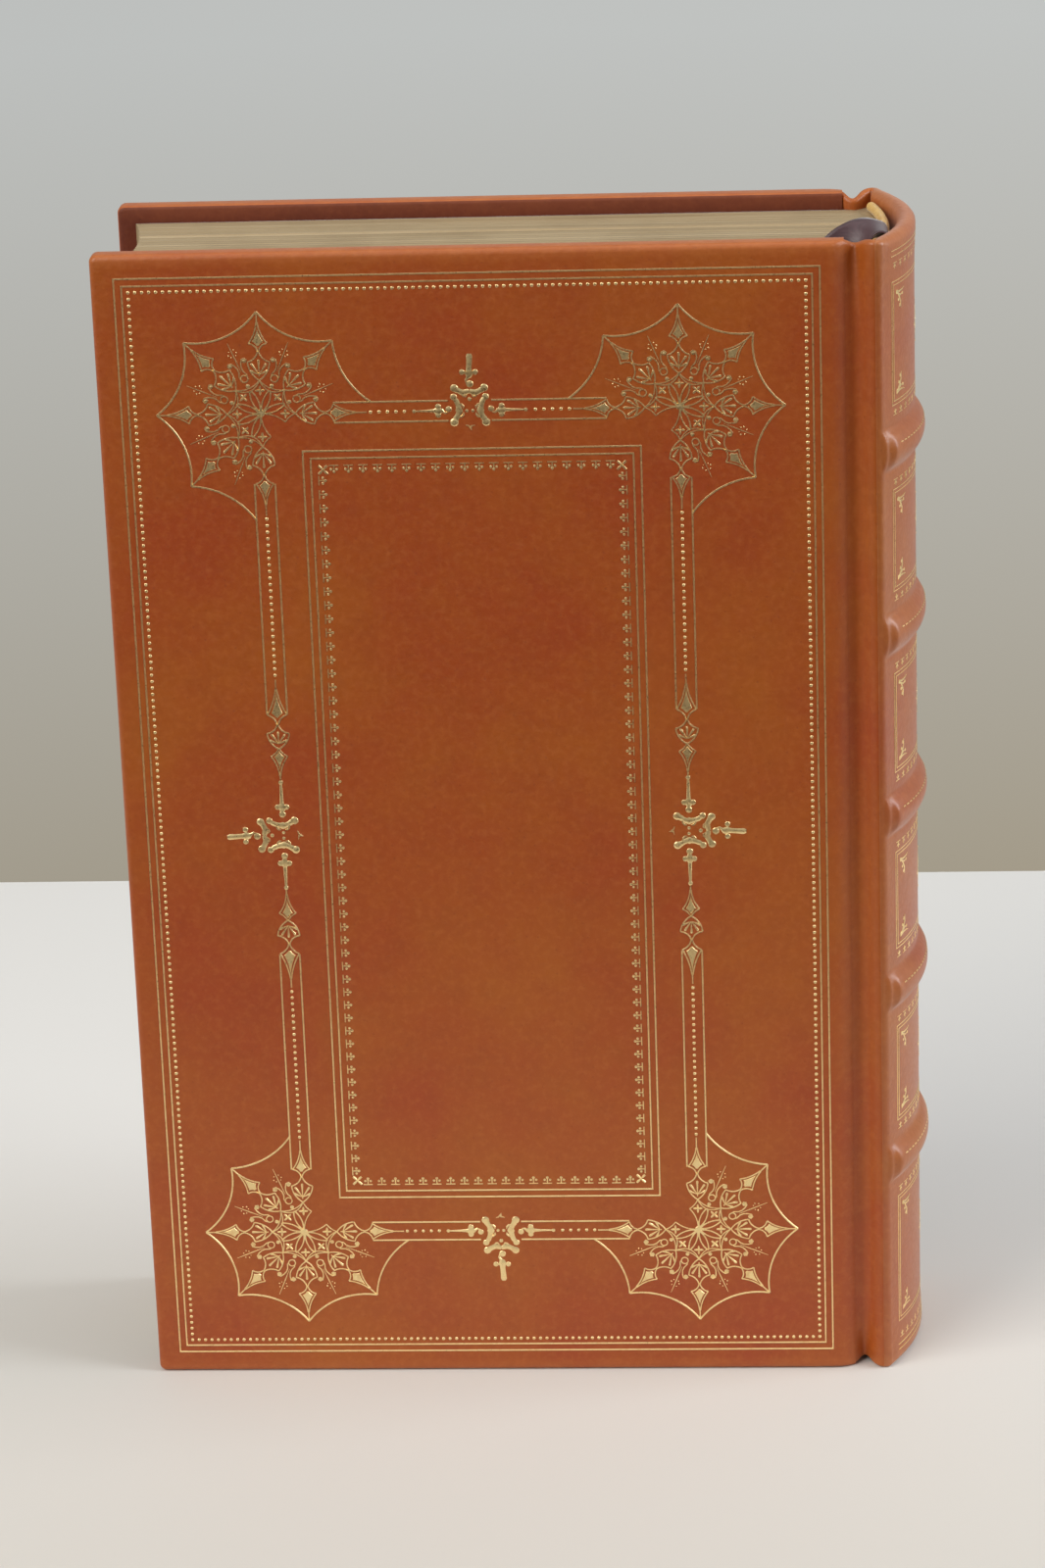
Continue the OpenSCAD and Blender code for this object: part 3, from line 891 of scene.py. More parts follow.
@dataclass
class Finishes:
    """Every material of the book."""

    cover: Material = field(init=False)
    spine: Material = field(init=False)
    inside: Material = field(init=False)
    gold: Material = field(init=False)
    pages: Material = field(init=False)
    endpaper: Material = field(init=False)
    ribbon: Material = field(init=False)
    headband: Material = field(init=False)
    lining: Material = field(init=False)
    board: Material = field(init=False)

    def __post_init__(self) -> None:
        """Makes the materials."""
        self.cover = Goatskin(
            "orange goatskin", rgb(164, 84, 20), rgb(156, 62, 20), rgb(118, 48, 14), rgb(198, 118, 58)
        ).make()
        # A little paler and greyer than the covers: partly the spine's leather, partly a painted sheen of the pale
        # light it reflects.
        self.spine = Goatskin(
            "spine goatskin", rgb(160, 90, 36), rgb(152, 70, 34), rgb(118, 52, 22), rgb(198, 126, 74),
            roughness=0.4, gloss=0.6, sheen=0.35
        ).make()
        # Painted shade: a darker copy of the leather for its inner faces, in the narrow slot between cover and leaves.
        self.inside = Goatskin(
            "turned-in goatskin", rgb(112, 52, 28), rgb(96, 40, 24), rgb(66, 28, 16), rgb(140, 76, 44),
            roughness=0.6, gloss=0.3
        ).make()
        self.gold = GoldLeaf("gold leaf", rgb(255, 228, 168), rgb(214, 152, 86)).make()
        self.pages = GiltPaper(
            "gilt page edges", rgb(164, 140, 102), rgb(178, 162, 132), rgb(116, 94, 62)
        ).make()
        self.endpaper = Silk("plum silk", rgb(92, 60, 66), rgb(52, 32, 38), 1700.0, 0.45, 0.5).make()
        self.ribbon = Silk("plum satin", rgb(88, 60, 64), rgb(52, 34, 40), 3000.0, 0.4, 0.5, 0.02).make()
        self.headband = Silk("gold silk", rgb(238, 200, 112), rgb(176, 124, 50), 3600.0, 0.38, 0.5).make()
        self.lining = Silk("lining cotton", rgb(226, 218, 196), rgb(170, 158, 132), 900.0, 0.8, 0.1).make()
        self.board = BookBoard("book board", rgb(150, 142, 128), rgb(104, 96, 84)).make()


# Sizes of the book, in millimetres


@dataclass(frozen=True)
class BookSizes:
    """The sizes that the pieces share. The outer ones are read from the frame.

    A name that ends in x, y or z is a place on that axis, r is a radius and t a thickness. The
    round of the spine leather and that of the leaves' back have their middles at spine_cx and
    back_cx.
    """

    x_fore: float
    x_end: float
    half_t: float
    height: float
    cover_t: float = 4.6
    pages_y: float = 18.4
    z_tail: float = 3.5
    z_head: float = 238.5
    spine_r: float = 43.467
    spine_cx: float = 36.033
    back_cx: float = 9.36
    back_r: float = 64.94
    hinge_out: float = 0.25
    band_z: tuple[float, ...] = (46.6, 84.8, 123.0, 161.2, 199.4)
    band_rise: float = 2.0
    band_half: float = 4.0

    @classmethod
    def read(cls) -> "BookSizes":
        """Takes the outer sizes from the covers' leather in the frame.

        Returns:
            The sizes.
        """
        low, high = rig.box("back_leather")
        pages_low, pages_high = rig.box("text_block")
        return cls(low.x / MM, high.x / MM, -low.y / MM, high.z / MM,
                   z_tail=pages_low.z / MM, z_head=pages_high.z / MM)

    @property
    def width(self) -> float:
        """Width of a cover."""
        return self.x_end - self.x_fore


# Gold drawing in a flat plane


def bow(p: Point2, q: Point2, sagitta: float, count: int = 8) -> list[Point2]:
    """Points on an arc from p to q that bows to the left by sagitta.

    Args:
        p: where it starts.
        q: where it ends.
        sagitta: how far its middle lies off the straight line.
        count: how many points it gets.

    Returns:
        The points.
    """
    a, b = Vector(p), Vector(q)
    along = b - a
    left = Vector((-along.y, along.x)).normalized()
    if abs(sagitta) < 1e-6:
        return [p, q]
    half = along.length / 2
    r = (half * half + sagitta * sagitta) / (2 * abs(sagitta))
    sign = 1 if sagitta > 0 else -1
    line = []
    for t in spaced(-1, 1, count):
        x = half * t
        rise = math.sqrt(max(0.0, r * r - x * x)) - (r - abs(sagitta))
        spot = a + along * ((t + 1) / 2) + left * rise * sign
        line.append((spot.x, spot.y))
    return line


class Pen:
    """Draws raised gold shapes in a flat plane, with the height in the third place.

    FLAT_TOP is the share of a line's width that is flat, STAGGER the step between two heights.
    """

    FLAT_TOP = 0.62
    STAGGER = 0.0016

    def __init__(self, height: float = 0.07, sink: float = 0.04) -> None:
        """Starts an empty drawing.

        Args:
            height: how far a line stands out of the plane.
            sink: how far it reaches below the plane.
        """
        self.builder = MeshBuilder()
        self.matrix = Matrix.Identity(3)
        self.height = height
        self.sink = sink
        self.shapes = 0

    def top(self) -> float:
        """The height of the next shape, a little off the last ones, so that no two lines share a plane."""
        self.shapes += 1
        return self.height + self.STAGGER * (self.shapes * 7 % 19)

    @contextmanager
    def moved(self, x: float = 0.0, y: float = 0.0, turn: float = 0.0, flip_x: bool = False,
              flip_y: bool = False) -> Iterator[None]:
        """Draws what follows at another place, turned by degrees and then mirrored.

        Args:
            x: how far to the right.
            y: how far up.
            turn: degrees turned.
            flip_x: mirrors left and right.
            flip_y: mirrors up and down.
        """
        kept = self.matrix.copy()
        c, s = polar(1, turn)
        fx, fy = (-1 if flip_x else 1), (-1 if flip_y else 1)
        shift, flip = Matrix(((1, 0, x), (0, 1, y), (0, 0, 1))), Matrix(((fx, 0, 0), (0, fy, 0), (0, 0, 1)))
        self.matrix = kept @ shift @ flip @ Matrix(((c, -s, 0), (s, c, 0), (0, 0, 1)))
        yield
        self.matrix = kept

    def at(self, p: Point2) -> Vector:
        """A point of the drawing after all moves."""
        v = self.matrix @ Vector((p[0], p[1], 1.0))
        return Vector((v.x, v.y))

    def stroke(self, points: Sequence[Point2], width: float | Sequence[float] = 0.34,
               closed: bool = False) -> None:
        """Draws a line.

        Args:
            points: what the line passes through.
            width: its width, or one for each point.
            closed: joins the end to the start.
        """
        spots = [self.at(p) for p in points]
        count = len(spots)
        widths = list(width) if isinstance(width, (list, tuple)) else [width] * count
        rows: list[list[Point3]] = []
        top, flat = self.top(), self.FLAT_TOP
        for i, spot in enumerate(spots):
            before = spots[i - 1] if i or closed else spot
            after = spots[(i + 1) % count] if i < count - 1 or closed else spot
            d1, d2 = spot - before, after - spot
            d1 = d1.normalized() if d1.length > 1e-9 else d2.normalized()
            d2 = d2.normalized() if d2.length > 1e-9 else d1
            middle = d1 + d2
            middle = middle.normalized() if middle.length > 1e-6 else d1
            side = Vector((-middle.y, middle.x))
            reach = min(2.2, 1 / max(0.3, side.dot(Vector((-d1.y, d1.x)))))
            w = widths[i] / 2 * reach
            lift = top * min(1.0, widths[i] / 0.3)
            rows.append([
                (spot.x + side.x * w, spot.y + side.y * w, -self.sink),
                (spot.x + side.x * w * flat, spot.y + side.y * w * flat, lift),
                (spot.x - side.x * w * flat, spot.y - side.y * w * flat, lift),
                (spot.x - side.x * w, spot.y - side.y * w, -self.sink),
            ])
        if closed:
            rows.append(rows[0])
        base = self.builder.sheet(rows, ring=True)
        if closed:
            end = base + 4 * count
            self.builder.faces[-4:] = [
                tuple(i - 4 * count if i >= end else i for i in f) for f in self.builder.faces[-4:]
            ]
        else:
            last = base + 4 * (len(rows) - 1)
            self.builder.cap(base, 4)
            self.builder.cap(last, 4)

    def ball(self, x: float, y: float, r: float) -> None:
        """Draws a dot, rounded like a bead.

        Args:
            x: its place.
            y: its place.
            r: its radius.
        """
        spot = self.at((x, y))
        sides = 8 if r < 0.5 else 12
        rows, top = [], self.top()
        for share, lift in ((1.0, -self.sink), (0.86, top * 0.75), (0.45, top * 1.3)):
            rows.append([
                (spot.x + r * share * math.cos(2 * math.pi * i / sides),
                 spot.y + r * share * math.sin(2 * math.pi * i / sides), lift)
                for i in range(sides)
            ])
        base = self.builder.sheet(rows, ring=True)
        self.builder.cap(base, sides)
        self.builder.cap(base + 2 * sides, sides)

    def plate(self, outline: Sequence[Point2], bevel: float = 0.1) -> None:
        """Draws a filled shape.

        Args:
            outline: its corners in order.
            bevel: width of its sloping edge.
        """
        spots = [self.at(p) for p in outline]
        area = sum(a.x * b.y - b.x * a.y for a, b in zip(spots, spots[1:] + spots[:1]))
        if area < 0:
            spots.reverse()
        count = len(spots)
        inner = []
        for i, spot in enumerate(spots):
            d1 = (spot - spots[i - 1]).normalized()
            d2 = (spots[(i + 1) % count] - spot).normalized()
            n1, n2 = Vector((-d1.y, d1.x)), Vector((-d2.y, d2.x))
            turn = n1 + n2
            turn = turn.normalized() if turn.length > 1e-6 else n1
            inner.append(spot + turn * bevel / max(0.5, turn.dot(n1)))
        top = self.top()
        rows = [[(p.x, p.y, -self.sink) for p in spots], [(p.x, p.y, top) for p in inner]]
        base = self.builder.sheet(rows, ring=True)
        for ring, step in ((spots, 0), (inner, count)):
            for tri in tessellate_polygon([[Vector((p.x, p.y, 0)) for p in ring]]):
                self.builder.faces.append(tuple(base + step + k for k in tri))

    def finish(self, name: str, place: Place) -> Piece:
        """Lays the drawing on a surface.

        Args:
            name: the piece's name.
            place: gives the point in the frame for a point of the drawing and a height.

        Returns:
            The piece.
        """
        laid = MeshBuilder()
        laid.add([place(*p) for p in self.builder.points], self.builder.faces)
        return sharpen(laid.build(name), 35)


def palmette(pen: Pen, x: float, middle: float, side: float, low: float = 1.75) -> None:
    """Five leaves that spread from a point on the X axis.

    Args:
        pen: what draws.
        x: the point.
        middle: length of the middle leaf.
        side: length of the two beside it.
        low: length of the outer two.
    """
    for turn, reach in ((0, middle), (34, side), (-34, side), (66, low), (-66, low)):
        with pen.moved(x, 0, turn):
            pen.stroke([(0, 0), (reach * 0.6, 0), (reach, 0)], (0.16, 0.42, 0.6))
            pen.ball(reach, 0, 0.27)


@dataclass(frozen=True)
class StarTools:
    """The finishing tools that make up a corner star, drawn round its middle."""

    radius: float = 20.7
    lozenge: float = 6.8
    half_bar: float = 2.05
    rim_end: float = 21.8
    line: float = 0.34

    def petal_ray(self, pen: Pen) -> None:
        """The lozenge and the palmette shield on one ray, along +X.

        Args:
            pen: what draws.
        """
        for s in (-1, 1):
            pen.stroke(bow((0.5, 0.0), (4.7, 1.7 * s), -0.42 * s), self.line * 0.85)
            pen.stroke(bow((4.7, 1.7 * s), (self.lozenge, 0.0), -0.22 * s, 5), self.line * 0.85)
            pen.stroke(bow((self.lozenge, 0.0), (10.5, 2.2 * s), 0.5 * s), self.line)
            pen.stroke(bow((10.5, 2.2 * s), (12.6, 0.1 * s), -0.42 * s, 6), self.line)
        for turn in (0, 90, 180, 270):
            with pen.moved(4.75, 0, turn):
                pen.stroke([(0.05, 0), (0.45, 0), (0.95, 0)], (0.25, 0.6, 0.3))
        palmette(pen, 8.0, 2.85, 2.5)
        pen.stroke([(7.6, 0), (8.4, 0)], 0.3)

    def kite(self, pen: Pen, stem: float) -> None:
        """The filled kite outside a shield, with a stem that ends at a radius.

        Args:
            pen: what draws.
            stem: the radius.
        """
        for s in (-1, 1):
            pen.stroke(bow((12.6, 0.1 * s), (14.3, 1.8 * s), -0.4 * s, 6), self.line)
            pen.stroke(bow((14.3, 1.8 * s), (18.6, 0.1 * s), -0.34 * s), self.line)
        side = bow((14.65, 1.15), (17.7, 0.0), -0.2, 6)
        base = bow((13.75, 0.25), (14.65, 1.15), -0.12, 4)
        upper = base[:-1] + side
        pen.plate(upper + [(x, -y) for x, y in reversed(upper[:-1])])
        pen.stroke([(18.3, 0), (stem, 0)], self.line)

    def between(self, pen: Pen) -> None:
        """The scrolls, ring, dots and spear between two rays, along +X.

        Args:
            pen: what draws.
        """
        pen.ball(6.15, 0, 0.46)
        pen.stroke(quarter(7.75, 0, 0.72, 0, 330, 13), 0.3, closed=True)
        pen.stroke([(9.3, 0), (12.0, 0), (15.6, 0)], (0.12, 0.3, 0.14))
        for s in (-1, 1):
            pen.stroke([(7.5, 0.62 * s), (8.4, 0.78 * s), (9.3, 0.42 * s), (10.1, 0.42 * s), (10.9, 0.72 * s),
                        (11.5, 1.15 * s), (11.55, 1.75 * s), (11.1, 2.0 * s), (10.75, 1.7 * s)],
                       (0.2, 0.3, 0.32, 0.3, 0.32, 0.34, 0.32, 0.3, 0.2))
            pen.ball(11.05, 1.5 * s, 0.42)
            pen.ball(13.2, 0.85 * s, 0.17)
            pen.ball(13.9, 0.5 * s, 0.13)
            pen.ball(12.7, 0.5 * s, 0.13)

    def draw(self, pen: Pen) -> None:
        """The whole star for the corner at the fore edge and tail.

        Args:
            pen: what draws.
        """
        r = self.radius
        for turn in range(0, 360, 45):
            if turn == 45:
                continue
            with pen.moved(turn=turn):
                self.petal_ray(pen)
                if turn >= 135:
                    self.kite(pen, r)
        for turn in (112.5, 157.5, 202.5, 247.5, 292.5, 337.5):
            with pen.moved(turn=turn):
                self.between(pen)
                for s in (-1, 1):
                    pen.stroke(bow((0.5, 0), (5.2, 0), 0.6 * s), self.line * 0.85)
                x, y = polar(self.lozenge, 22.5)
                pen.stroke(bow((x, -y), (x, y), 0.68), self.line * 0.85)
                if 112.5 < turn < 337.5:
                    x, y = polar(r, 22.5)
                    pen.stroke(bow((x, -y), (x, y), 2.2, 14), self.line * 1.3)
        pen.ball(0, 0, 0.7)
        corner = polar(r, 45)[0]
        pen.stroke(bow((-corner, corner), (-self.half_bar, self.rim_end), -1.7, 12), self.line * 1.3)
        pen.stroke(bow((corner, -corner), (self.rim_end, -self.half_bar), 1.7, 12), self.line * 1.3)


@dataclass(frozen=True)
class SideTools:
    """The bars between the stars and what stands in their middles."""

    half_bar: float = 2.05
    bar_start: float = 14.3
    bar_kite: float = 20.9
    tail_ball: float = 11.0
    line: float = 0.4

    def bar_end(self, pen: Pen, length: float) -> None:
        """Two lines along +X from a star, with its kite between them.

        Args:
            pen: what draws.
            length: where the lines end, from the middle of the star.
        """
        for s in (-1, 1):
            pen.stroke([(self.bar_start, self.half_bar * s), (length, self.half_bar * s)], self.line)
        StarTools().kite(pen, self.bar_kite)

    def scrolls(self, pen: Pen) -> None:
        """The scrolls round the middle of a side, with their spear along -Y.

        Args:
            pen: what draws.
        """
        for s in (-1, 1):
            pen.ball(0.6 * s, 0.05, 0.38)
            pen.ball(3.15 * s, 2.4, 0.86)
            pen.stroke([(3.2 * s, 2.5), (2.85 * s, 1.75), (2.45 * s, 1.1), (2.15 * s, 0.5), (2.1 * s, 0.0),
                        (2.15 * s, -0.5), (2.3 * s, -1.2), (2.6 * s, -2.0), (3.1 * s, -2.7)],
                       (1.0, 1.35, 1.15, 1.3, 1.75, 1.3, 1.15, 1.15, 0.9))
            pen.ball(3.15 * s, -2.75, 0.72)
            for y in (-1, 1):
                hook = [(2.25, 1.35), (1.65, 1.25), (1.25, 0.85), (1.2, 0.4)]
                pen.stroke([(u * s, v * y) for u, v in hook], (0.3, 0.5, 0.48, 0.2))
            pen.stroke([(0, -3.95), (0.7 * s, -3.75), (1.3 * s, -3.6), (2.1 * s, -4.0), (2.95 * s, -4.5)],
                       (1.0, 1.2, 1.3, 1.2, 1.5))
            pen.ball(2.95 * s, -4.55, 0.82)
            pen.stroke([(0.4 * s, -3.3), (0.75 * s, -2.85), (1.2 * s, -2.9), (1.5 * s, -3.3)],
                       (0.2, 0.4, 0.4, 0.3))
            pen.ball(1.3 * s, -7.75, 0.6)
        pen.ball(0, -2.3, 0.46)
        pen.stroke([(-0.95, 2.95), (-0.4, 3.1), (0.1, 3.75), (0.1, 3.2), (0.9, 3.0)],
                   (0.16, 0.36, 0.42, 0.4, 0.16))
        pen.ball(0.15, -5.35, 0.76)
        pen.stroke([(-0.45, -5.4), (-0.6, -6.1), (-0.25, -6.6), (0.0, -7.0), (0.05, -7.9)],
                   (0.3, 0.5, 0.7, 1.4, 2.3))
        pen.stroke([(0.05, -7.6), (0.1, -8.6), (0.2, -10.0), (0.25, -11.0), (0.25, -11.5)],
                   (1.6, 1.2, 1.25, 1.4, 0.9))

    def tail(self, pen: Pen) -> None:
        """The curl, trefoil and tapered stem from the scrolls along +X.

        Args:
            pen: what draws.
        """
        pen.ball(4.2, -0.3, 0.66)
        pen.stroke([(4.4, 0.35), (4.9, 0.45), (5.3, 0.15), (5.6, -0.05)], (0.3, 0.45, 0.6, 1.0))
        for y in (-0.85, 0.85):
            pen.ball(6.25, y, 0.62)
        pen.stroke([(5.5, 0), (6.1, 0), (6.7, 0), (7.1, 0)], (1.0, 2.0, 1.6, 0.8))
        pen.stroke([(6.9, 0), (8.2, 0), (self.tail_ball, 0)], (0.9, 0.6, 0.3))
        pen.ball(self.tail_ball, 0, 0.42)

    def string(self, pen: Pen) -> None:
        """The balls, kite and shield on one half of a long side, along +X from its middle.

        Args:
            pen: what draws.
        """
        pen.ball(4.5, 0, 0.72)
        for y in (-0.9, 0.9):
            pen.ball(6.1, y, 0.62)
        pen.stroke([(4.9, 0), (5.7, 0), (6.4, 0), (7.0, 0)], (0.6, 1.6, 1.8, 0.8))
        pen.stroke([(6.8, 0), (8.8, 0), (11.0, 0)], (0.95, 0.75, 0.56))
        pen.ball(11.4, 0, 0.5)
        pen.stroke([(11.8, 0), (13.3, 0)], (0.4, 0.34))
        for s in (-1, 1):
            pen.stroke(bow((12.8, 0.1 * s), (17.0, 1.7 * s), -0.35 * s), 0.34)
            pen.stroke(bow((17.0, 1.7 * s), (18.6, 0.05 * s), -0.2 * s, 5), 0.34)
            pen.stroke(bow((18.6, 0.05 * s), (21.9, 2.25 * s), 0.5 * s), 0.36)
            pen.stroke(bow((21.9, 2.25 * s), (23.7, 0.1 * s), -0.42 * s, 6), 0.36)
            pen.stroke(bow((23.7, 0.1 * s), (25.9, 1.95 * s), -0.4 * s, 6), 0.36)
            pen.stroke(bow((25.9, 1.95 * s), (31.4, 0.1 * s), -0.3 * s), 0.36)
        upper = bow((14.0, 0.05), (16.9, 1.1), -0.2, 5)[:-1] + bow((16.9, 1.1), (18.1, 0.1), -0.1, 4)
        pen.plate(upper + [(x, -y) for x, y in reversed(upper)])
        upper = bow((25.2, 0.2), (26.2, 1.2), -0.1, 4)[:-1] + bow((26.2, 1.2), (30.6, 0.05), -0.2, 6)
        pen.plate(upper + [(x, -y) for x, y in reversed(upper)])
        palmette(pen, 19.7, 2.4, 2.3)
        pen.stroke([(31.1, 0), (33.4, 0)], 0.34)


# Geometry node trees


def geometry_tree(name: str, inputs: Sequence[tuple[str, str, object]],
                  draw: Callable[[Sheet, dict], Socket]) -> Tree:
    """Makes a geometry node tree, once.

    Args:
        name: the tree's name.
        inputs: name, socket type and default of each input after the geometry.
        draw: fills the tree and returns the finished geometry; it is given the sheet and the inputs.

    Returns:
        The tree.
    """
    if name in bpy.data.node_groups:
        return bpy.data.node_groups[name]
    tree = bpy.data.node_groups.new(name, "GeometryNodeTree")
    tree.interface.new_socket(name="Geometry", in_out="INPUT", socket_type="NodeSocketGeometry")
    add_inputs(tree, inputs)
    tree.interface.new_socket(name="Geometry", in_out="OUTPUT", socket_type="NodeSocketGeometry")
    sheet = Sheet(tree)
    start, end = sheet.add("NodeGroupInput"), sheet.add("NodeGroupOutput")
    made = draw(sheet, start.outputs)
    whole = sheet.add("GeometryNodeRealizeInstances", {"Geometry": made})
    painted = sheet.add("GeometryNodeSetMaterial",
                        {"Geometry": whole.outputs[0], "Material": start.outputs["Material"]})
    sheet.put(end.inputs["Geometry"], painted.outputs[0])
    return tree


def run_tree(piece: Piece, tree: Tree, **values: object) -> Piece:
    """Runs a geometry node tree on a piece and keeps the result as its mesh.

    Args:
        piece: the object whose mesh the tree starts from.
        tree: the tree.
        values: a value for each named input.

    Returns:
        The piece.
    """
    modifier = piece.modifiers.new("rule", "NODES")
    modifier.node_group = tree
    for item in tree.interface.items_tree:
        if item.in_out == "INPUT" and item.name in values:
            modifier[item.identifier] = values[item.name]
    return bake(piece)


def pitched(s: Sheet, i: dict) -> Socket:
    """The lines that a tree starts from, with points at its pitch.

    Args:
        s: the sheet of the tree.
        i: its input sockets.

    Returns:
        The lines as a curve.
    """
    line = s.add("GeometryNodeMeshToCurve", {"Mesh": i["Geometry"]})
    even = s.add("GeometryNodeResampleCurve", {"Curve": line.outputs[0]}, mode="LENGTH")
    s.put(even.inputs["Length"], i["Pitch"])
    return even.outputs[0]


def ring_curve(s: Sheet, radius: object, sides: int) -> Socket:
    """A ring of some radius, as a curve.

    Args:
        s: the sheet of the tree.
        radius: a value or a socket.
        sides: how many points the ring has.

    Returns:
        The curve.
    """
    ring = s.add("GeometryNodeCurvePrimitiveCircle", {"Resolution": sides})
    s.put(ring.inputs["Radius"], radius)
    return ring.outputs[0]


def dot_tree() -> Tree:
    """Beads of gold at an even pitch along every line.

    Returns:
        The tree.
    """

    def draw(s: Sheet, i: dict) -> Socket:
        """Fills the tree.

        Args:
            s: the sheet of the tree.
            i: its input sockets.

        Returns:
            The beads.
        """
        even = pitched(s, i)
        bead = s.add("GeometryNodeMeshUVSphere", {"Segments": 8, "Rings": 5, "Radius": 1.0})
        size = s.add("ShaderNodeCombineXYZ", {"X": i["Radius"], "Y": i["Radius"], "Z": i["Height"]})
        beads = s.add("GeometryNodeInstanceOnPoints",
                      {"Points": even, "Instance": bead.outputs["Mesh"], "Scale": size.outputs[0]})
        return beads.outputs[0]

    inputs = [("Pitch", VALUE, 1.35 * MM), ("Radius", VALUE, 0.4 * MM), ("Height", VALUE, 0.1 * MM),
              ("Material", PAINT, None)]
    return geometry_tree("gold dots", inputs, draw)


def roll_tree() -> Tree:
    """A small tool repeated along every line, turned to follow it.

    Returns:
        The tree.
    """

    def draw(s: Sheet, i: dict) -> Socket:
        """Fills the tree.

        Args:
            s: the sheet of the tree.
            i: its input sockets.

        Returns:
            The placed tools.
        """
        even = pitched(s, i)
        tool = s.add("GeometryNodeObjectInfo", {"Object": i["Tool"]})
        along = s.add("GeometryNodeInputTangent")
        turn = s.add("FunctionNodeAlignRotationToVector", {"Vector": along.outputs[0]},
                     axis="X", pivot_axis="Z")
        placed = s.add("GeometryNodeInstanceOnPoints",
                       {"Points": even, "Instance": tool.outputs["Geometry"],
                        "Rotation": turn.outputs[0]})
        return placed.outputs[0]

    inputs = [("Pitch", VALUE, 2.85 * MM), ("Tool", THING, None), ("Material", PAINT, None)]
    return geometry_tree("gold roll", inputs, draw)


def bead_tree() -> Tree:
    """A core wound closely with thread, as on a headband.

    Returns:
        The tree.
    """

    def draw(s: Sheet, i: dict) -> Socket:
        """Fills the tree.

        Args:
            s: the sheet of the tree.
            i: its input sockets.

        Returns:
            The core and its thread.
        """
        even = pitched(s, i)
        loop, yarn = ring_curve(s, i["Radius"], 14), ring_curve(s, i["Thread"], 6)
        turn = s.add("GeometryNodeCurveToMesh", {"Curve": loop, "Profile Curve": yarn})
        along = s.add("GeometryNodeInputTangent")
        tilt = s.add("FunctionNodeAlignRotationToVector", {"Vector": along.outputs[0]}, axis="Z")
        lean = s.add("FunctionNodeRotateRotation",
                     {"Rotation": tilt.outputs[0], "Rotate By": (0.32, 0.0, 0.0)})
        turns = s.add("GeometryNodeInstanceOnPoints",
                      {"Points": even, "Instance": turn.outputs[0], "Rotation": lean.outputs[0]})
        core = ring_curve(s, i["Radius"], 12)
        body = s.add("GeometryNodeCurveToMesh", {"Curve": even, "Profile Curve": core, "Fill Caps": True})
        joined = s.add("GeometryNodeJoinGeometry")
        s.put(joined.inputs[0], turns.outputs[0])
        s.put(joined.inputs[0], body.outputs[0])
        return joined.outputs[0]

    inputs = [("Pitch", VALUE, 0.5 * MM), ("Radius", VALUE, 0.8 * MM), ("Thread", VALUE, 0.25 * MM),
              ("Material", PAINT, None)]
    return geometry_tree("wound bead", inputs, draw)


def lines_object(name: str, lines: Sequence[Sequence[Point3]]) -> Piece:
    """A mesh of bare lines, for a tree to start from.

    Args:
        name: the object's name.
        lines: the points of each line, in millimetres.

    Returns:
        The object.
    """
    points: list[Point3] = []
    edges: list[tuple[int, int]] = []
    for line in lines:
        base = len(points)
        points.extend((x * MM, y * MM, z * MM) for x, y, z in line)
        edges.extend((base + i, base + i + 1) for i in range(len(line) - 1))
    mesh = bpy.data.meshes.new(name)
    mesh.from_pydata(points, edges, [])
    return linked(name, mesh)


def flat_lines(name: str, lines: Sequence[Sequence[Point2]]) -> Piece:
    """Bare lines in the plane of X and Y."""
    return lines_object(name, [[(x, y, 0.0) for x, y in line] for line in lines])


def lay(piece: Piece, place: Place) -> Piece:
    """Moves a flat piece, drawn in X and Y, onto a surface and turns its faces outwards.

    Args:
        piece: the flat piece.
        place: gives the point in the frame for a point of the piece.

    Returns:
        The piece.
    """
    for vertex in piece.data.vertices:
        x, y, z = place(vertex.co.x / MM, vertex.co.y / MM, vertex.co.z / MM)
        vertex.co = (x * MM, y * MM, z * MM)
    with edited(piece.data) as work:
        bmesh.ops.recalc_face_normals(work, faces=work.faces)
        for face in work.faces:
            face.smooth = True
    return piece


# Sub-assemblies


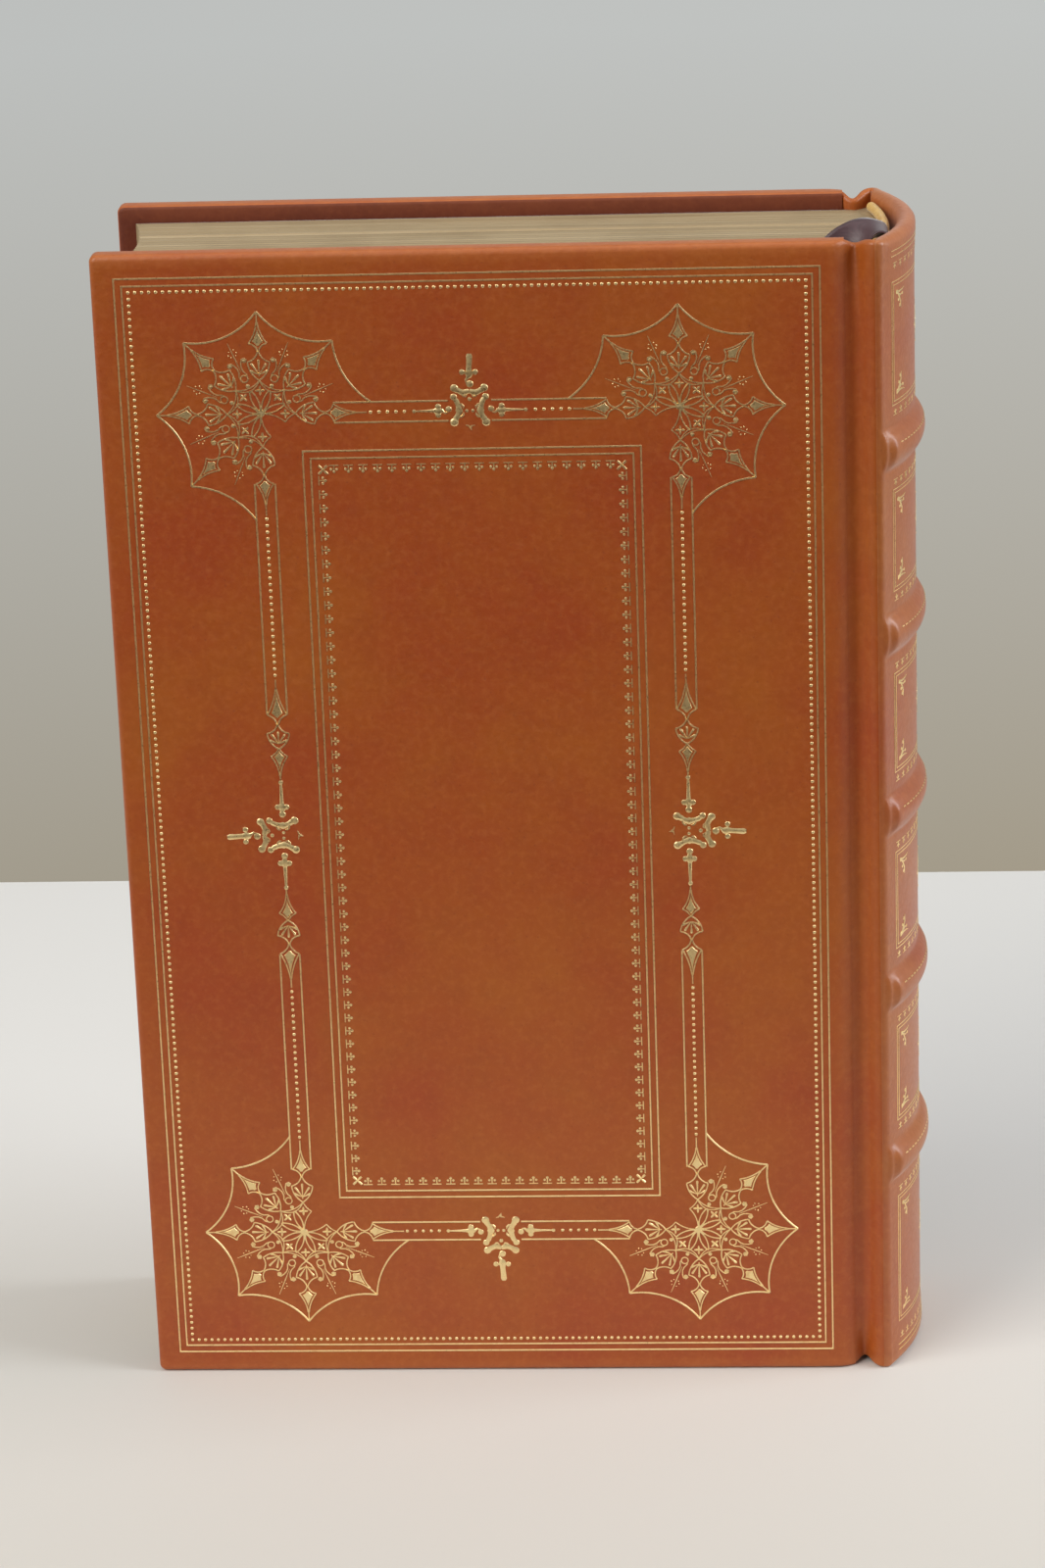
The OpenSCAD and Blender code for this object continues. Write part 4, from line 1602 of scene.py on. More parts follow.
@dataclass
class Cover:
    """One cover: its leather, its board, the paste-down inside it and its gold.

    The cover falls away by fall over its last fall_w towards the joint. In its tooling an inset
    is counted from the line outside it, dot_start from the middle of a star, fleur_start from the
    corner of its row, and tail_half and string_half from the middle of a side. The bars end at
    short_bar and long_bar from the middles of the short and long sides.
    """

    side: Side
    sizes: BookSizes
    finishes: Finishes
    edge_r: float = 1.25
    inner_r: float = 0.9
    corner_r: float = 1.5
    fall_w: float = 4.3
    fall: float = 1.6
    leather_t: float = 0.9
    turnin: float = 14.0
    tail_points: int = 32
    fore_points: int = 54
    margin: float = 4.7
    gap: float = 1.5
    line: float = 0.4
    panel: float = 35.5
    star: float = 27.7
    dot_inset: float = 2.75
    dot_corner: float = 1.35
    dot_pitch: float = 1.36
    dot_start: float = 21.6
    tail_half: float = 12.9
    string_half: float = 34.3
    fleur_inset: float = 2.95
    fleur_start: float = 3.1
    fleur_pitch: float = 2.85
    cross_inset: float = 3.85
    short_bar: float = 4.26
    long_bar: float = 26.0

    @property
    def body(self) -> str:
        """The body that this cover's pieces ride on."""
        return f"{self.side.label}_cover"

    def build(self) -> list[Piece]:
        """Makes every piece of the cover.

        Returns:
            The pieces.
        """
        pieces = [self.leather(), self.board(), self.pastedown(), *self.gold()]
        for piece in pieces:
            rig.ride(piece, self.body)
        return pieces

    def drop(self, x: float) -> float:
        """How far the outer face has rounded away towards the joint."""
        t = (x - self.sizes.x_end + self.fall_w) / self.fall_w
        return self.fall * max(0.0, min(1.1, t)) ** 2.2

    def spot(self, x: float, depth: float, z: float) -> Point3:
        """A point of the cover from its depth below the outer face."""
        depth += self.drop(x) * (1 - min(1.0, depth / 4.0))
        return x, self.side.value * (self.sizes.half_t - depth), z

    def ring(self, inset: float, depth: float) -> list[Point3]:
        """One line round the three free edges, at a distance in from them.

        It has tail_points points along the tail, fore_points round the fore edge and tail_points
        along the head.

        Args:
            inset: distance in from the edge.
            depth: depth below the outer face.

        Returns:
            Its points, from the spine end at the tail to the spine end at the head.
        """
        s = self.sizes
        r = max(0.04, self.corner_r - inset)
        left, low, high = s.x_fore + inset, inset, s.height - inset
        x0 = s.x_end - self.fall_w
        tail = spaced(s.x_end, x0, 9) + spaced(x0, s.x_fore + 16, 24)[1:]
        points = [(x, low) for x in tail]
        points += quarter(left + r, low + r, r, 270, 180, 7)
        points += [(left, z) for z in spaced(16, s.height - 16, 40)]
        points += quarter(left + r, high - r, r, 180, 90, 7)
        points += [(x, high) for x in reversed(tail)]
        return [self.spot(x, depth, z) for x, z in points]

    def section(self) -> list[Point2]:
        """Distance from the edge and depth of the lines of the leather, from outside to inside.

        Returns:
            The two values for each line.
        """
        t, edge, inner = self.sizes.cover_t, self.edge_r, self.inner_r
        rows = [(9.0, 0.0), (5.0, 0.0), (2.4, 0.0)]
        for c, d in (polar(1, a) for a in (0, 18, 36, 54, 72, 90)):
            rows.append((edge * (1 - d), edge * (1 - c)))
        rows.append((0.0, (edge + t - inner) / 2))
        for c, d in (polar(1, a) for a in (0, 22, 45, 68, 90)):
            rows.append((inner * (1 - c), t - inner * (1 - d)))
        end = self.turnin
        return rows + [(2.4, t), (7.0, t), (end - 0.5, t), (end - 0.1, t - 0.12), (end, t - 0.55)]

    def fill(self, builder: MeshBuilder, ring: list[int]) -> list[int]:
        """Fills the outer face inside its first line with a grid.

        Args:
            builder: the mesh so far.
            ring: the points of the line, from the spine end at the tail.

        Returns:
            The points of the grid along the spine end.
        """
        turn = self.tail_points + self.fore_points
        tail, fore, head = ring[:self.tail_points], ring[self.tail_points:turn], ring[:turn - 1:-1]
        grid = [tail]
        for k in fore:
            start, z = len(builder.points), builder.points[k][2]
            builder.points += [self.spot(builder.points[i][0], 0.0, z) for i in tail]
            grid.append(list(range(start, len(builder.points))))
        grid.append(head)
        for low, high in zip(grid, grid[1:]):
            builder.faces += [(low[i], low[i + 1], high[i + 1], high[i]) for i in range(len(tail) - 1)]
        left, rim = [row[-1] for row in grid], [tail[-1], *fore, head[-1]]
        for i in range(len(left) - 1):
            builder.faces.append(tuple(dict.fromkeys((left[i], rim[i], rim[i + 1], left[i + 1]))))
        return [row[0] for row in grid[1:-1]]

    def leather(self) -> Piece:
        """The covering leather with its rounded edges and turned-in borders.

        Returns:
            The piece.
        """
        s = self.sizes
        builder = MeshBuilder()
        rings = [self.ring(inset, depth) for inset, depth in self.section()]
        base, count = builder.sheet(rings), len(rings[0])
        spine_end = self.fill(builder, list(range(base, base + count)))
        starts = [base + j * count for j in range(len(rings))]
        builder.cap(starts[-1], count)
        builder.faces.append((*reversed(starts), *spine_end, *(i + count - 1 for i in starts)))
        piece = builder.build(f"{self.side.label}_cover_leather", weld=0.002)
        sharpen(piece, 40)
        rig.slot(piece, "cover_leather")
        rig.replaces(piece, f"{self.side.label}_leather")
        dress(piece, self.finishes.cover)
        # The inner faces take the darker copy of the leather, as painted shade for the slot beside the leaves.
        piece.data.materials.append(self.finishes.inside)
        for face in piece.data.polygons:
            if abs(face.center.y) < (s.half_t - s.cover_t + 0.35) * MM:
                face.material_index = 1
        return piece

    def board(self) -> Piece:
        """The board under the leather, bevelled along the joint.

        Returns:
            The piece.
        """
        s, t = self.sizes, self.leather_t
        fore, end, inside = s.x_fore + t, 64.6, s.cover_t - 0.66
        plan = [(x, t + self.drop(x) + 0.02) for x in (fore, 0.0, *spaced(60.8, end, 8))]
        plan += [(end, inside), (fore, inside)]
        builder = MeshBuilder()
        rows = [
            [(x, self.side.value * (s.half_t - depth), z) for x, depth in plan]
            for z in spaced(t, s.height - t, 12)
        ]
        base = builder.sheet(rows, ring=True)
        for row in (0, len(rows) - 1):
            builder.cap(base + row * len(plan), len(plan))
        piece = sharpen(builder.build(f"{self.side.label}_cover_board"), 30)
        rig.slot(piece, "board")
        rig.replaces(piece, f"{self.side.label}_board")
        return dress(piece, self.finishes.board)

    def pastedown(self) -> Piece:
        """The silk inside the cover, a little crowned where it was pasted.

        Returns:
            The piece.
        """
        s = self.sizes
        x0, x1 = s.x_fore + self.turnin - 0.05, s.x_end - 0.9
        z0, z1 = self.turnin - 0.05, s.height - self.turnin + 0.05
        rows = []
        for z in spaced(z0, z1, 60):
            row = []
            for x in spaced(x0, x1, 40):
                edge = min(x - x0, z - z0, z1 - z)
                lift = 0.06 * smoothstep(edge / 2.0) + 0.02 * noise.noise(Vector((x, z, 4.0)) * 0.06)
                row.append((x, self.side.value * (s.half_t - s.cover_t - lift + 0.04), z))
            rows.append(row)
        piece = sheet_piece(f"{self.side.label}_pastedown_silk", rows)
        face_y(piece, -self.side.value)
        solidify(piece, 0.45)
        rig.slot(piece, "endpaper")
        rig.replaces(piece, f"{self.side.label}_pastedown")
        return dress(piece, self.finishes.endpaper)

    def place(self, u: float, v: float, h: float) -> Point3:
        """Where a point of the flat drawing lies on the cover."""
        return self.sizes.x_fore + u, self.side.value * (self.sizes.half_t + h), v

    def gold(self) -> list[Piece]:
        """The tooling of the cover.

        Returns:
            The pieces.
        """
        label = self.side.label
        drawing = self.drawing().finish(f"{label}_gold_drawing", self.place)
        pieces = [drawing, self.dots(), self.roll()]
        for piece in pieces:
            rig.slot(piece, "gold")
            dress(piece, self.finishes.gold)
        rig.replaces(drawing, f"{label}_tooling")
        return pieces

    def frame(self, pen: Pen, inset: float) -> None:
        """A rectangle of one line."""
        w, h = self.sizes.width - inset, self.sizes.height - inset
        pen.stroke([(inset, inset), (w, inset), (w, h), (inset, h)], self.line, closed=True)

    def drawing(self) -> Pen:
        """All lines and tools that are not a repeated roll.

        Returns:
            The pen that holds them.
        """
        w, h = self.sizes.width, self.sizes.height
        pen = Pen()
        for inset in (self.margin, self.margin + self.panel):
            self.frame(pen, inset)
            self.frame(pen, inset + self.gap)
        reach = self.margin + self.star
        tools, sides = StarTools(), SideTools()
        for flip_x, flip_y in MIRRORS:
            with pen.moved(w / 2, h / 2, 0, flip_x, flip_y):
                with pen.moved(reach - w / 2, reach - h / 2):
                    tools.draw(pen)
                    sides.bar_end(pen, w / 2 - reach - self.short_bar)
                    with pen.moved(flip_x=True, turn=90):
                        sides.bar_end(pen, h / 2 - reach - self.long_bar)
                with pen.moved(0, reach - h / 2, 0, flip_x=True):
                    sides.tail(pen)
                with pen.moved(reach - w / 2, 0, -90):
                    sides.string(pen)
                cross = self.margin + self.panel + self.cross_inset
                with pen.moved(cross - w / 2, cross - h / 2, 45):
                    for turn in (0, 90, 180, 270):
                        with pen.moved(turn=turn):
                            pen.stroke([(0.0, 0), (0.7, 0), (1.25, 0)], (0.25, 0.6, 0.5))
        for flip_y in (False, True):
            with pen.moved(w / 2, h / 2, 0, False, flip_y):
                with pen.moved(0, reach - h / 2):
                    sides.scrolls(pen)
        for flip_x in (False, True):
            with pen.moved(w / 2, h / 2, 0, flip_x, False):
                with pen.moved(reach - w / 2, 0, -90):
                    sides.scrolls(pen)
        return pen

    def dots(self) -> Piece:
        """The rows of beads inside the frame and between the bars.

        Returns:
            The piece.
        """
        w, h = self.sizes.width, self.sizes.height
        i, c, e = self.margin + self.dot_inset, self.margin + self.star, self.dot_corner
        lines = [[(i, i), (w - i, i)], [(i, h - i), (w - i, h - i)],
                 [(i, i + e), (i, h - i - e)], [(w - i, i + e), (w - i, h - i - e)]]
        start, tail, string = self.dot_start, self.tail_half, self.string_half
        for y in (c, h - c):
            lines += [[(c + start, y), (w / 2 - tail, y)], [(w - c - start, y), (w / 2 + tail, y)]]
        for x in (c, w - c):
            lines += [[(x, c + start), (x, h / 2 - string)], [(x, h - c - start), (x, h / 2 + string)]]
        piece = flat_lines(f"{self.side.label}_gold_dots", lines)
        run_tree(piece, dot_tree(), Pitch=self.dot_pitch * MM, Radius=0.37 * MM, Height=0.11 * MM,
                 Material=self.finishes.gold)
        return lay(piece, self.place)

    def roll(self) -> Piece:
        """The row of little fleurs inside the panel.

        Returns:
            The piece.
        """
        i, gap = self.margin + self.panel + self.fleur_inset, self.fleur_start
        w, h = self.sizes.width - i, self.sizes.height - i
        pen = Pen()
        pen.stroke([(-0.95, 0), (0.95, 0)], 0.3)
        pen.stroke([(0, 0), (0, 0.5), (0, 1.0)], (0.26, 0.32, 0.4))
        pen.ball(0, 1.3, 0.34)
        for s in (-1, 1):
            pen.ball(0.56 * s, 0.8, 0.3)
        tool = pen.finish("fleur_tool", lambda u, v, k: (u, v, k))
        lines = [[(i + gap, i), (w - gap, i)], [(w, i + gap), (w, h - gap)],
                 [(w - gap, h), (i + gap, h)], [(i, h - gap), (i, i + gap)]]
        piece = flat_lines(f"{self.side.label}_gold_fleurs", lines)
        run_tree(piece, roll_tree(), Pitch=self.fleur_pitch * MM, Tool=tool, Material=self.finishes.gold)
        bpy.data.objects.remove(tool)
        return lay(piece, self.place)


def bend(piece: Piece, side: Side, x_cover: float, x_block: float, out: float) -> Piece:
    """Lets a piece bend between a cover and the block of leaves.

    At a half turn the way round follows from the order of the two bodies, so each side has its own.

    Args:
        piece: what bends.
        side: the side that its cover is on.
        x_cover: where it stops following the cover.
        x_block: where it starts following the block.
        out: how far the hinge lies from the middle of the book.

    Returns:
        The piece.
    """
    y = side.value * out * MM
    cover, block = (x_cover * MM, y, 0.12), (x_block * MM, y, 0.12)
    if side is Side.BACK:
        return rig.blend(piece, "book_block", "back_cover", block, cover)
    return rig.blend(piece, "front_cover", "book_block", cover, block)


@dataclass
class Spine:
    """The leather of the spine over its bands, its gold and the leather of both joints."""

    sizes: BookSizes
    finishes: Finishes
    seam_x: float = 71.45
    corner_r: float = 1.6
    rim: float = 3.4
    rim_change: float = 20.5
    joint_rim: float = 1.9
    joint_middle: float = 67.5
    fold: float = 14.0
    band_round: float = 3.45
    band_foot: float = 5.6
    band_step: float = 0.44
    side_share: float = 0.4
    cap_rise: float = 0.35
    tooled_half: float = 20.6
    rule_gap: float = 0.75
    rule_to_band: float = 8.6
    rule_to_end: float = 9.2
    fleur_to_band: float = 6.6
    fleur_to_end: float = 5.4

    def build(self) -> list[Piece]:
        """Makes every piece of the spine.

        Returns:
            The pieces.
        """
        pieces = [self.leather(), self.gold()]
        for piece in pieces:
            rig.ride(piece, "book_block")
        joints = [self.joint(Side.BACK), self.joint(Side.FRONT)]
        return pieces + joints

    def half_profile(self) -> list[tuple[float, float, float, float, float]]:
        """The plan of the spine from its middle to the seam on the +Y side.

        Returns:
            Place, outward direction and share of a band's rise of each point.
        """
        s = self.sizes
        y_c = s.half_t - self.corner_r
        x_c = s.spine_cx + math.sqrt((s.spine_r - self.corner_r) ** 2 - y_c**2)
        a_c = math.degrees(math.atan2(y_c, x_c - s.spine_cx))
        line = []
        for a in spaced(0, a_c - 2.2, 38) + spaced(a_c - 2.0, a_c, 10):
            c, d = polar(1, a)
            share = self.side_share + (1 - self.side_share) * smoothstep((a_c - a) / 2.6)
            line.append((s.spine_cx + s.spine_r * c, s.spine_r * d, c, d, share))
        for a in spaced(a_c, 90, 9)[1:]:
            c, d = polar(1, a)
            share = self.side_share * smoothstep((a_c + 34 - a) / 34)
            line.append((x_c + self.corner_r * c, y_c + self.corner_r * d, c, d, share))
        line.append((self.seam_x, s.half_t, 0.0, 1.0, 0.0))
        return line

    def rise(self, z: float) -> float:
        """How far the leather stands out at a height, over bands and at the caps.

        Args:
            z: the height.

        Returns:
            The distance.
        """
        s = self.sizes
        r = (s.band_half**2 + s.band_rise**2) / (2 * s.band_rise)

        def crest(d: float) -> float:
            """Height of the round of a band at a distance from its middle."""
            return math.sqrt(r * r - d * d) - (r - s.band_rise)

        out = 0.0
        for centre in s.band_z:
            d = abs(z - centre)
            beyond, foot = d - self.band_round, self.band_foot - self.band_round
            if beyond < 0:
                out = crest(d)
            elif beyond < foot:
                t = min(1.0, beyond / 1.35)
                dent = 0.12 * math.sin(math.pi * beyond / foot) ** 2
                out = crest(self.band_round) * (1 - t) ** 2.2 - dent
        for end in (0.0, s.height):
            out += self.cap_rise * math.exp(-(((z - end) / 5.0) ** 2))
        return out

    def up_path(self, depth: float, low: float, high: float) -> list[tuple[float, float, bool]]:
        """The way up one line of the leather, folded in at the tail and head.

        Args:
            depth: thickness of the rim.
            low: height of its tail end.
            high: height of its head end.

        Returns:
            Depth, height and whether the point lies on the outer face.
        """
        r = depth / 2
        path = [(depth, low + self.fold, False), (depth, low + 6, False), (depth, low + r, False)]
        round_end = [polar(1, a) for a in BENDS]
        path += [(r + r * c, low + r - r * d, False) for c, d in round_end]
        path.append((0.0, low + r, True))
        stops = [b + k * self.band_step for b in self.sizes.band_z for k in range(-13, 14)]
        stops += spaced(4, self.sizes.height - 4, 44)
        path += [(0.0, z, True) for z in sorted({round(z, 3) for z in stops})]
        path.append((0.0, high - r, True))
        path += [(r - r * c, high - r + r * d, False) for c, d in round_end]
        path += [(depth, high - r, False), (depth, high - 6, False), (depth, high - self.fold, False)]
        return path

    def leather(self) -> Piece:
        """The leather from seam to seam.

        Returns:
            The piece.
        """
        half = self.half_profile()
        whole = [(x, -y, nx, -ny, f) for x, y, nx, ny, f in reversed(half)] + half[1:]
        rows = []
        for x, y, nx, ny, share in whole:
            side = smoothstep((abs(y) - self.rim_change) / 3.0)
            depth = self.rim + (self.joint_rim - self.rim) * side
            row = []
            for inset, z, outer in self.up_path(depth, 0.0, self.sizes.height):
                lift = self.rise(z) * share if outer else self.cap_rise * share * (1 - inset / depth)
                out = -inset + lift
                if outer and side < 1:
                    out += 0.05 * noise.noise(Vector((x, y, z)) * 0.09) * (1 - side)
                row.append((x + nx * out, y + ny * out, z))
            rows.append(row)
        piece = sheet_piece("spine_goatskin", rows)
        self.outwards(piece)
        solidify(piece, 0.7)
        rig.slot(piece, "spine_leather")
        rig.replaces(piece, "spine_leather")
        return dress(piece, self.finishes.spine)

    def outwards(self, piece: Piece) -> None:
        """Turns a sheet so that its outer face looks away from the middle of the spine.

        Args:
            piece: the sheet.
        """
        centre = Vector((self.sizes.spine_cx * MM, 0, 0))
        total = 0.0
        for p in piece.data.polygons:
            away = Vector((p.center.x - centre.x, p.center.y, 0))
            inside = abs(p.center.y) < 16 * MM and away.length < (self.sizes.spine_r - 1) * MM
            total += p.normal.dot(away) * p.area * (0 if inside else 1)
        if total < 0:
            piece.data.flip_normals()

    def joint(self, side: Side) -> Piece:
        """The leather that bends between a cover and the spine.

        Args:
            side: the side of the cover.

        Returns:
            The piece.
        """
        s = self.sizes
        edge = s.half_t
        fall = ((63.9, 0.72), (64.7, 1.16), (65.5, 1.66), (66.4, 2.06), (67.4, 2.24), (68.3, 2.02),
                (69.1, 1.5), (69.8, 0.9), (70.5, 0.36), (71.1, 0.07), (71.6, 0.04))
        line = through([(x, edge - depth) for x, depth in fall], 3)
        rows = []
        for i, (x, y) in enumerate(line):
            along = heading(line, i)
            out = Vector((-along.y, along.x))
            pinch = math.exp(-(((x - self.joint_middle) / 1.25) ** 2))
            row = []
            for inset, z, _ in self.up_path(self.joint_rim, pinch, s.height - pinch * 1.3):
                deep = 1.5 * pinch * math.exp(-((min(z, s.height - z) / 6.5) ** 2))
                row.append((x - out.x * inset, side.value * (y - out.y * inset - deep), z))
            rows.append(row)
        piece = sheet_piece(f"{side.label}_joint_leather", rows)
        face_y(piece, side.value, edge - 2.6)
        solidify(piece, 0.5)
        dress(piece, self.finishes.cover)
        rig.slot(piece, "spine_leather")
        return bend(piece, side, 65.5, 69.6, edge + s.hinge_out)

    def place(self, u: float, v: float, h: float) -> Point3:
        """Where a point of the flat drawing lies on the round of the spine.

        Args:
            u: distance round the spine from its middle.
            v: height.
            h: distance out of the leather.

        Returns:
            The point.
        """
        s = self.sizes
        a = u / s.spine_r
        out = s.spine_r + self.rise(v) + h
        return s.spine_cx + out * math.cos(a), out * math.sin(a), v

    def sprig(self, pen: Pen) -> None:
        """A small leafy corner tool, along the diagonal of +X and +Y.

        Args:
            pen: what draws.
        """
        pen.stroke([(0.3, 0.3), (1.6, 1.3), (2.6, 2.9), (2.7, 4.3)], (0.3, 0.6, 0.5, 0.2))
        pen.stroke([(0.3, 0.3), (1.9, 0.8), (3.6, 0.7), (4.6, 0.4)], (0.3, 0.55, 0.4, 0.16))
        pen.stroke([(1.5, 1.2), (2.6, 1.6), (3.5, 1.5)], (0.4, 0.5, 0.2))
        for x, y, r in ((0.7, 0.7, 0.5), (2.2, 3.6, 0.42), (3.6, 1.5, 0.36), (1.5, 2.4, 0.36)):
            pen.ball(x, y, r)

    def flower(self, pen: Pen) -> None:
        """The tool in the middle of a panel.

        Args:
            pen: what draws.
        """
        for turn in (0, 90, 180, 270):
            with pen.moved(turn=turn):
                pen.stroke([(0.4, 0), (1.6, 0), (2.9, 0)], (0.3, 0.9, 0.2))
                pen.stroke([(0.5, 0.5), (1.2, 1.2), (1.7, 1.5)], (0.2, 0.45, 0.2))
                pen.stroke([(2.9, 0), (4.2, 0)], (0.2, 0.2))
                pen.ball(4.3, 0, 0.3)
        pen.ball(0, 0, 0.55)

    def gold(self) -> Piece:
        """The rules, rolls and tools of the spine.

        Returns:
            The piece.
        """
        s = self.sizes
        pen = Pen(0.06, 0.12)
        half = self.tooled_half
        stops = [0.0, *s.band_z, s.height]
        for i in range(len(stops) - 1):
            low = stops[i] + (self.rule_to_band if i else self.rule_to_end)
            high = stops[i + 1] - (self.rule_to_band if i < len(stops) - 2 else self.rule_to_end)
            for inset in (0.0, self.rule_gap):
                x0, y0, y1 = half - inset, low + inset, high - inset
                side = spaced(-x0, x0, 33)
                pen.stroke([(x, y0) for x in side] + [(x, y1) for x in reversed(side)], 0.26, closed=True)
            for edge, sign in ((stops[i], 1), (stops[i + 1], -1)):
                outer = edge in (0.0, s.height)
                at = edge + sign * (self.fleur_to_end if outer else self.fleur_to_band)
                for x in spaced(-half + 1.2, half - 1.2, 15):
                    pen.stroke([(x - 0.9, at), (x + 0.9, at)], 0.24)
                    pen.stroke([(x, at), (x, at + sign * 0.6), (x, at + sign * 1.3)], (0.3, 0.5, 0.2))
                    leaf = [(x - 0.6, at + sign * 0.9), (x, at + sign * 0.35), (x + 0.6, at + sign * 0.9)]
                    pen.stroke(leaf, (0.2, 0.3, 0.2))
                if outer:
                    for k in (0.0, 1.1):
                        line = spaced(-half - 0.6, half + 0.6, 33)
                        pen.stroke([(x, edge + sign * (2.9 + k)) for x in line], 0.26)
            for flip_x, flip_y in MIRRORS:
                with pen.moved(0, (low + high) / 2, 0, flip_x, flip_y):
                    with pen.moved(-half + 1.7, -(high - low) / 2 + 1.7):
                        self.sprig(pen)
            with pen.moved(0, (low + high) / 2):
                self.flower(pen)
        for centre in s.band_z:
            for x in spaced(-half + 0.6, half - 0.6, 27):
                pen.stroke([(x - 0.45, centre + 1.5), (x + 0.45, centre + 1.5)], 0.3)
        piece = pen.finish("spine_gold_tooling", self.place)
        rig.slot(piece, "gold")
        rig.replaces(piece, "spine_tooling")
        return dress(piece, self.finishes.gold)


@dataclass
class TextBlock:
    """The leaves with their endpapers, headbands and ribbon."""

    sizes: BookSizes
    finishes: Finishes
    fore_square: float = 3.8
    leaf_count: int = 184
    gathering_t: float = 1.7
    gathering_shift: float = 40.0
    proud: Point2 = (6.2, 6.6)
    flare_x: float = 67.2
    flyleaf_end: float = 68.3
    bead_r: float = 0.72
    ribbon_y: float = -11.0
    ribbon_half: float = 3.5
    hollow: float = 2.6
    flare: float = 0.2
    seed: int = 7

    def build(self) -> list[Piece]:
        """Makes every piece of the text block.

        Returns:
            The pieces.
        """
        pieces = [self.leaves(), self.headband(True), self.headband(False), self.ribbon()]
        pieces += [self.flyleaf(side) for side in Side]
        for piece in pieces:
            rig.ride(piece, "book_block")
        return pieces + [self.inner_joint(side) for side in Side]

    def leaves(self) -> Piece:
        """The block of leaves, each a little off its neighbours, with those at proud a little higher.

        Returns:
            The piece.
        """
        s = self.sizes
        shuffle = random.Random(self.seed)
        fore_r = (s.pages_y**2 + self.hollow**2) / (2 * self.hollow)
        centre = s.x_fore + self.fore_square + self.hollow - fore_r
        half, count = self.gathering_t / 2, self.leaf_count
        rows = []
        for y in spaced(-s.pages_y, s.pages_y, count):
            gathering = abs(((y + self.gathering_shift) % self.gathering_t) - half) / half
            dip = 0.16 * gathering**6
            dx, dz = shuffle.uniform(0, 0.07) + dip, shuffle.uniform(0, 0.06) + dip
            if self.proud[0] < y < self.proud[1]:
                dz -= 0.3
            fore = centre + math.sqrt(fore_r**2 - y * y) + dx
            back = s.back_cx + math.sqrt((s.back_r - 0.05) ** 2 - ((1 + self.flare) * y) ** 2)
            low, high = s.z_tail + dz, s.z_head - dz
            run = [(x, y * (1 + self.flare * smoothstep((x - self.flare_x) / 3.6)))
                   for x in spaced(fore, self.flare_x - 0.6, 8) + spaced(self.flare_x, back, 8)]
            rows.append([(x, v, high) for x, v in run] + [(x, v, low) for x, v in reversed(run)])
        builder = MeshBuilder()
        base = builder.sheet(rows, ring=True)
        width = len(rows[0])
        for start in (base, base + (count - 1) * width):
            for i in range(width // 2 - 1):
                end = start + width - 1 - i
                builder.faces.append((start + i, start + i + 1, end - 1, end))
        piece = sharpen(builder.build("gilt_leaves"), 40)
        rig.slot(piece, "gilt_paper")
        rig.replaces(piece, "text_block")
        return dress(piece, self.finishes.pages)

    def headband(self, head: bool) -> Piece:
        """A silk bead wound over the end of the leaves.

        Args:
            head: at the head of the book, or else at its tail.

        Returns:
            The bead.
        """
        s = self.sizes
        r = s.back_r - 0.8
        reach = math.asin((s.pages_y - 1.9) / s.back_r)
        z = s.z_head + 1.0 if head else s.z_tail - 1.0
        line = [(s.back_cx + r * math.cos(a), r * math.sin(a), z) for a in spaced(-reach, reach, 60)]
        name = "head_silk_bead" if head else "tail_silk_bead"
        piece = lines_object(name, [line])
        run_tree(piece, bead_tree(), Pitch=0.52 * MM, Radius=self.bead_r * MM, Thread=0.27 * MM,
                 Material=self.finishes.headband)
        for face in piece.data.polygons:
            face.use_smooth = True
        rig.slot(piece, "headband_silk")
        return piece

    def ribbon(self) -> Piece:
        """The satin marker, from behind the headband over it and down between the leaves.

        Returns:
            The piece.
        """
        s = self.sizes
        back = s.back_cx + polar(s.back_r, 9.7)[0]
        stops = [(0.75, 232.0, 0), (0.75, 237.0, 0), (0.75, 240.3, 0), (0.1, 241.6, 2), (-1.6, 241.9, 10),
                 (-3.6, 241.2, 34), (-6.0, 239.7, 62), (-8.6, 237.9, 82), (-10.6, 235.4, 90),
                 (-11.8, 231.0, 90), (-12.3, 225.0, 90)]
        path = through([(back + x, z) for x, z, _ in stops], 5)
        turns = [q[1] for q in through([(float(i), float(stop[2])) for i, stop in enumerate(stops)], 5)]
        rows = []
        for i, (x, z) in enumerate(path):
            along = heading(path, i)
            flat, upright = polar(1, turns[i])
            rows.append([
                (x + w * upright * along.y, self.ribbon_y + w * flat, z - w * upright * along.x)
                for w in spaced(-self.ribbon_half, self.ribbon_half, 10)
            ])
        piece = sheet_piece("satin_ribbon", rows)
        solidify(piece, 0.3, 0.0)
        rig.slot(piece, "ribbon")
        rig.replaces(piece, "ribbon_marker")
        return dress(piece, self.finishes.ribbon)

    def flyleaf(self, side: Side) -> Piece:
        """The free endpaper on one side of the leaves.

        Args:
            side: the side.

        Returns:
            The piece.
        """
        s = self.sizes
        rows = []
        for z in spaced(s.z_tail, s.z_head, 60):
            row = []
            for x in spaced(s.x_fore + self.fore_square, self.flyleaf_end, 40):
                wave = 0.02 * noise.noise(Vector((x, z, 9.0)) * 0.05)
                row.append((x, side.value * (s.pages_y + 0.24 + wave), z))
            rows.append(row)
        piece = sheet_piece(f"{side.label}_flyleaf_silk", rows)
        face_y(piece, side.value)
        solidify(piece, 0.23)
        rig.slot(piece, "endpaper")
        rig.replaces(piece, f"{side.label}_flyleaf")
        return dress(piece, self.finishes.endpaper)

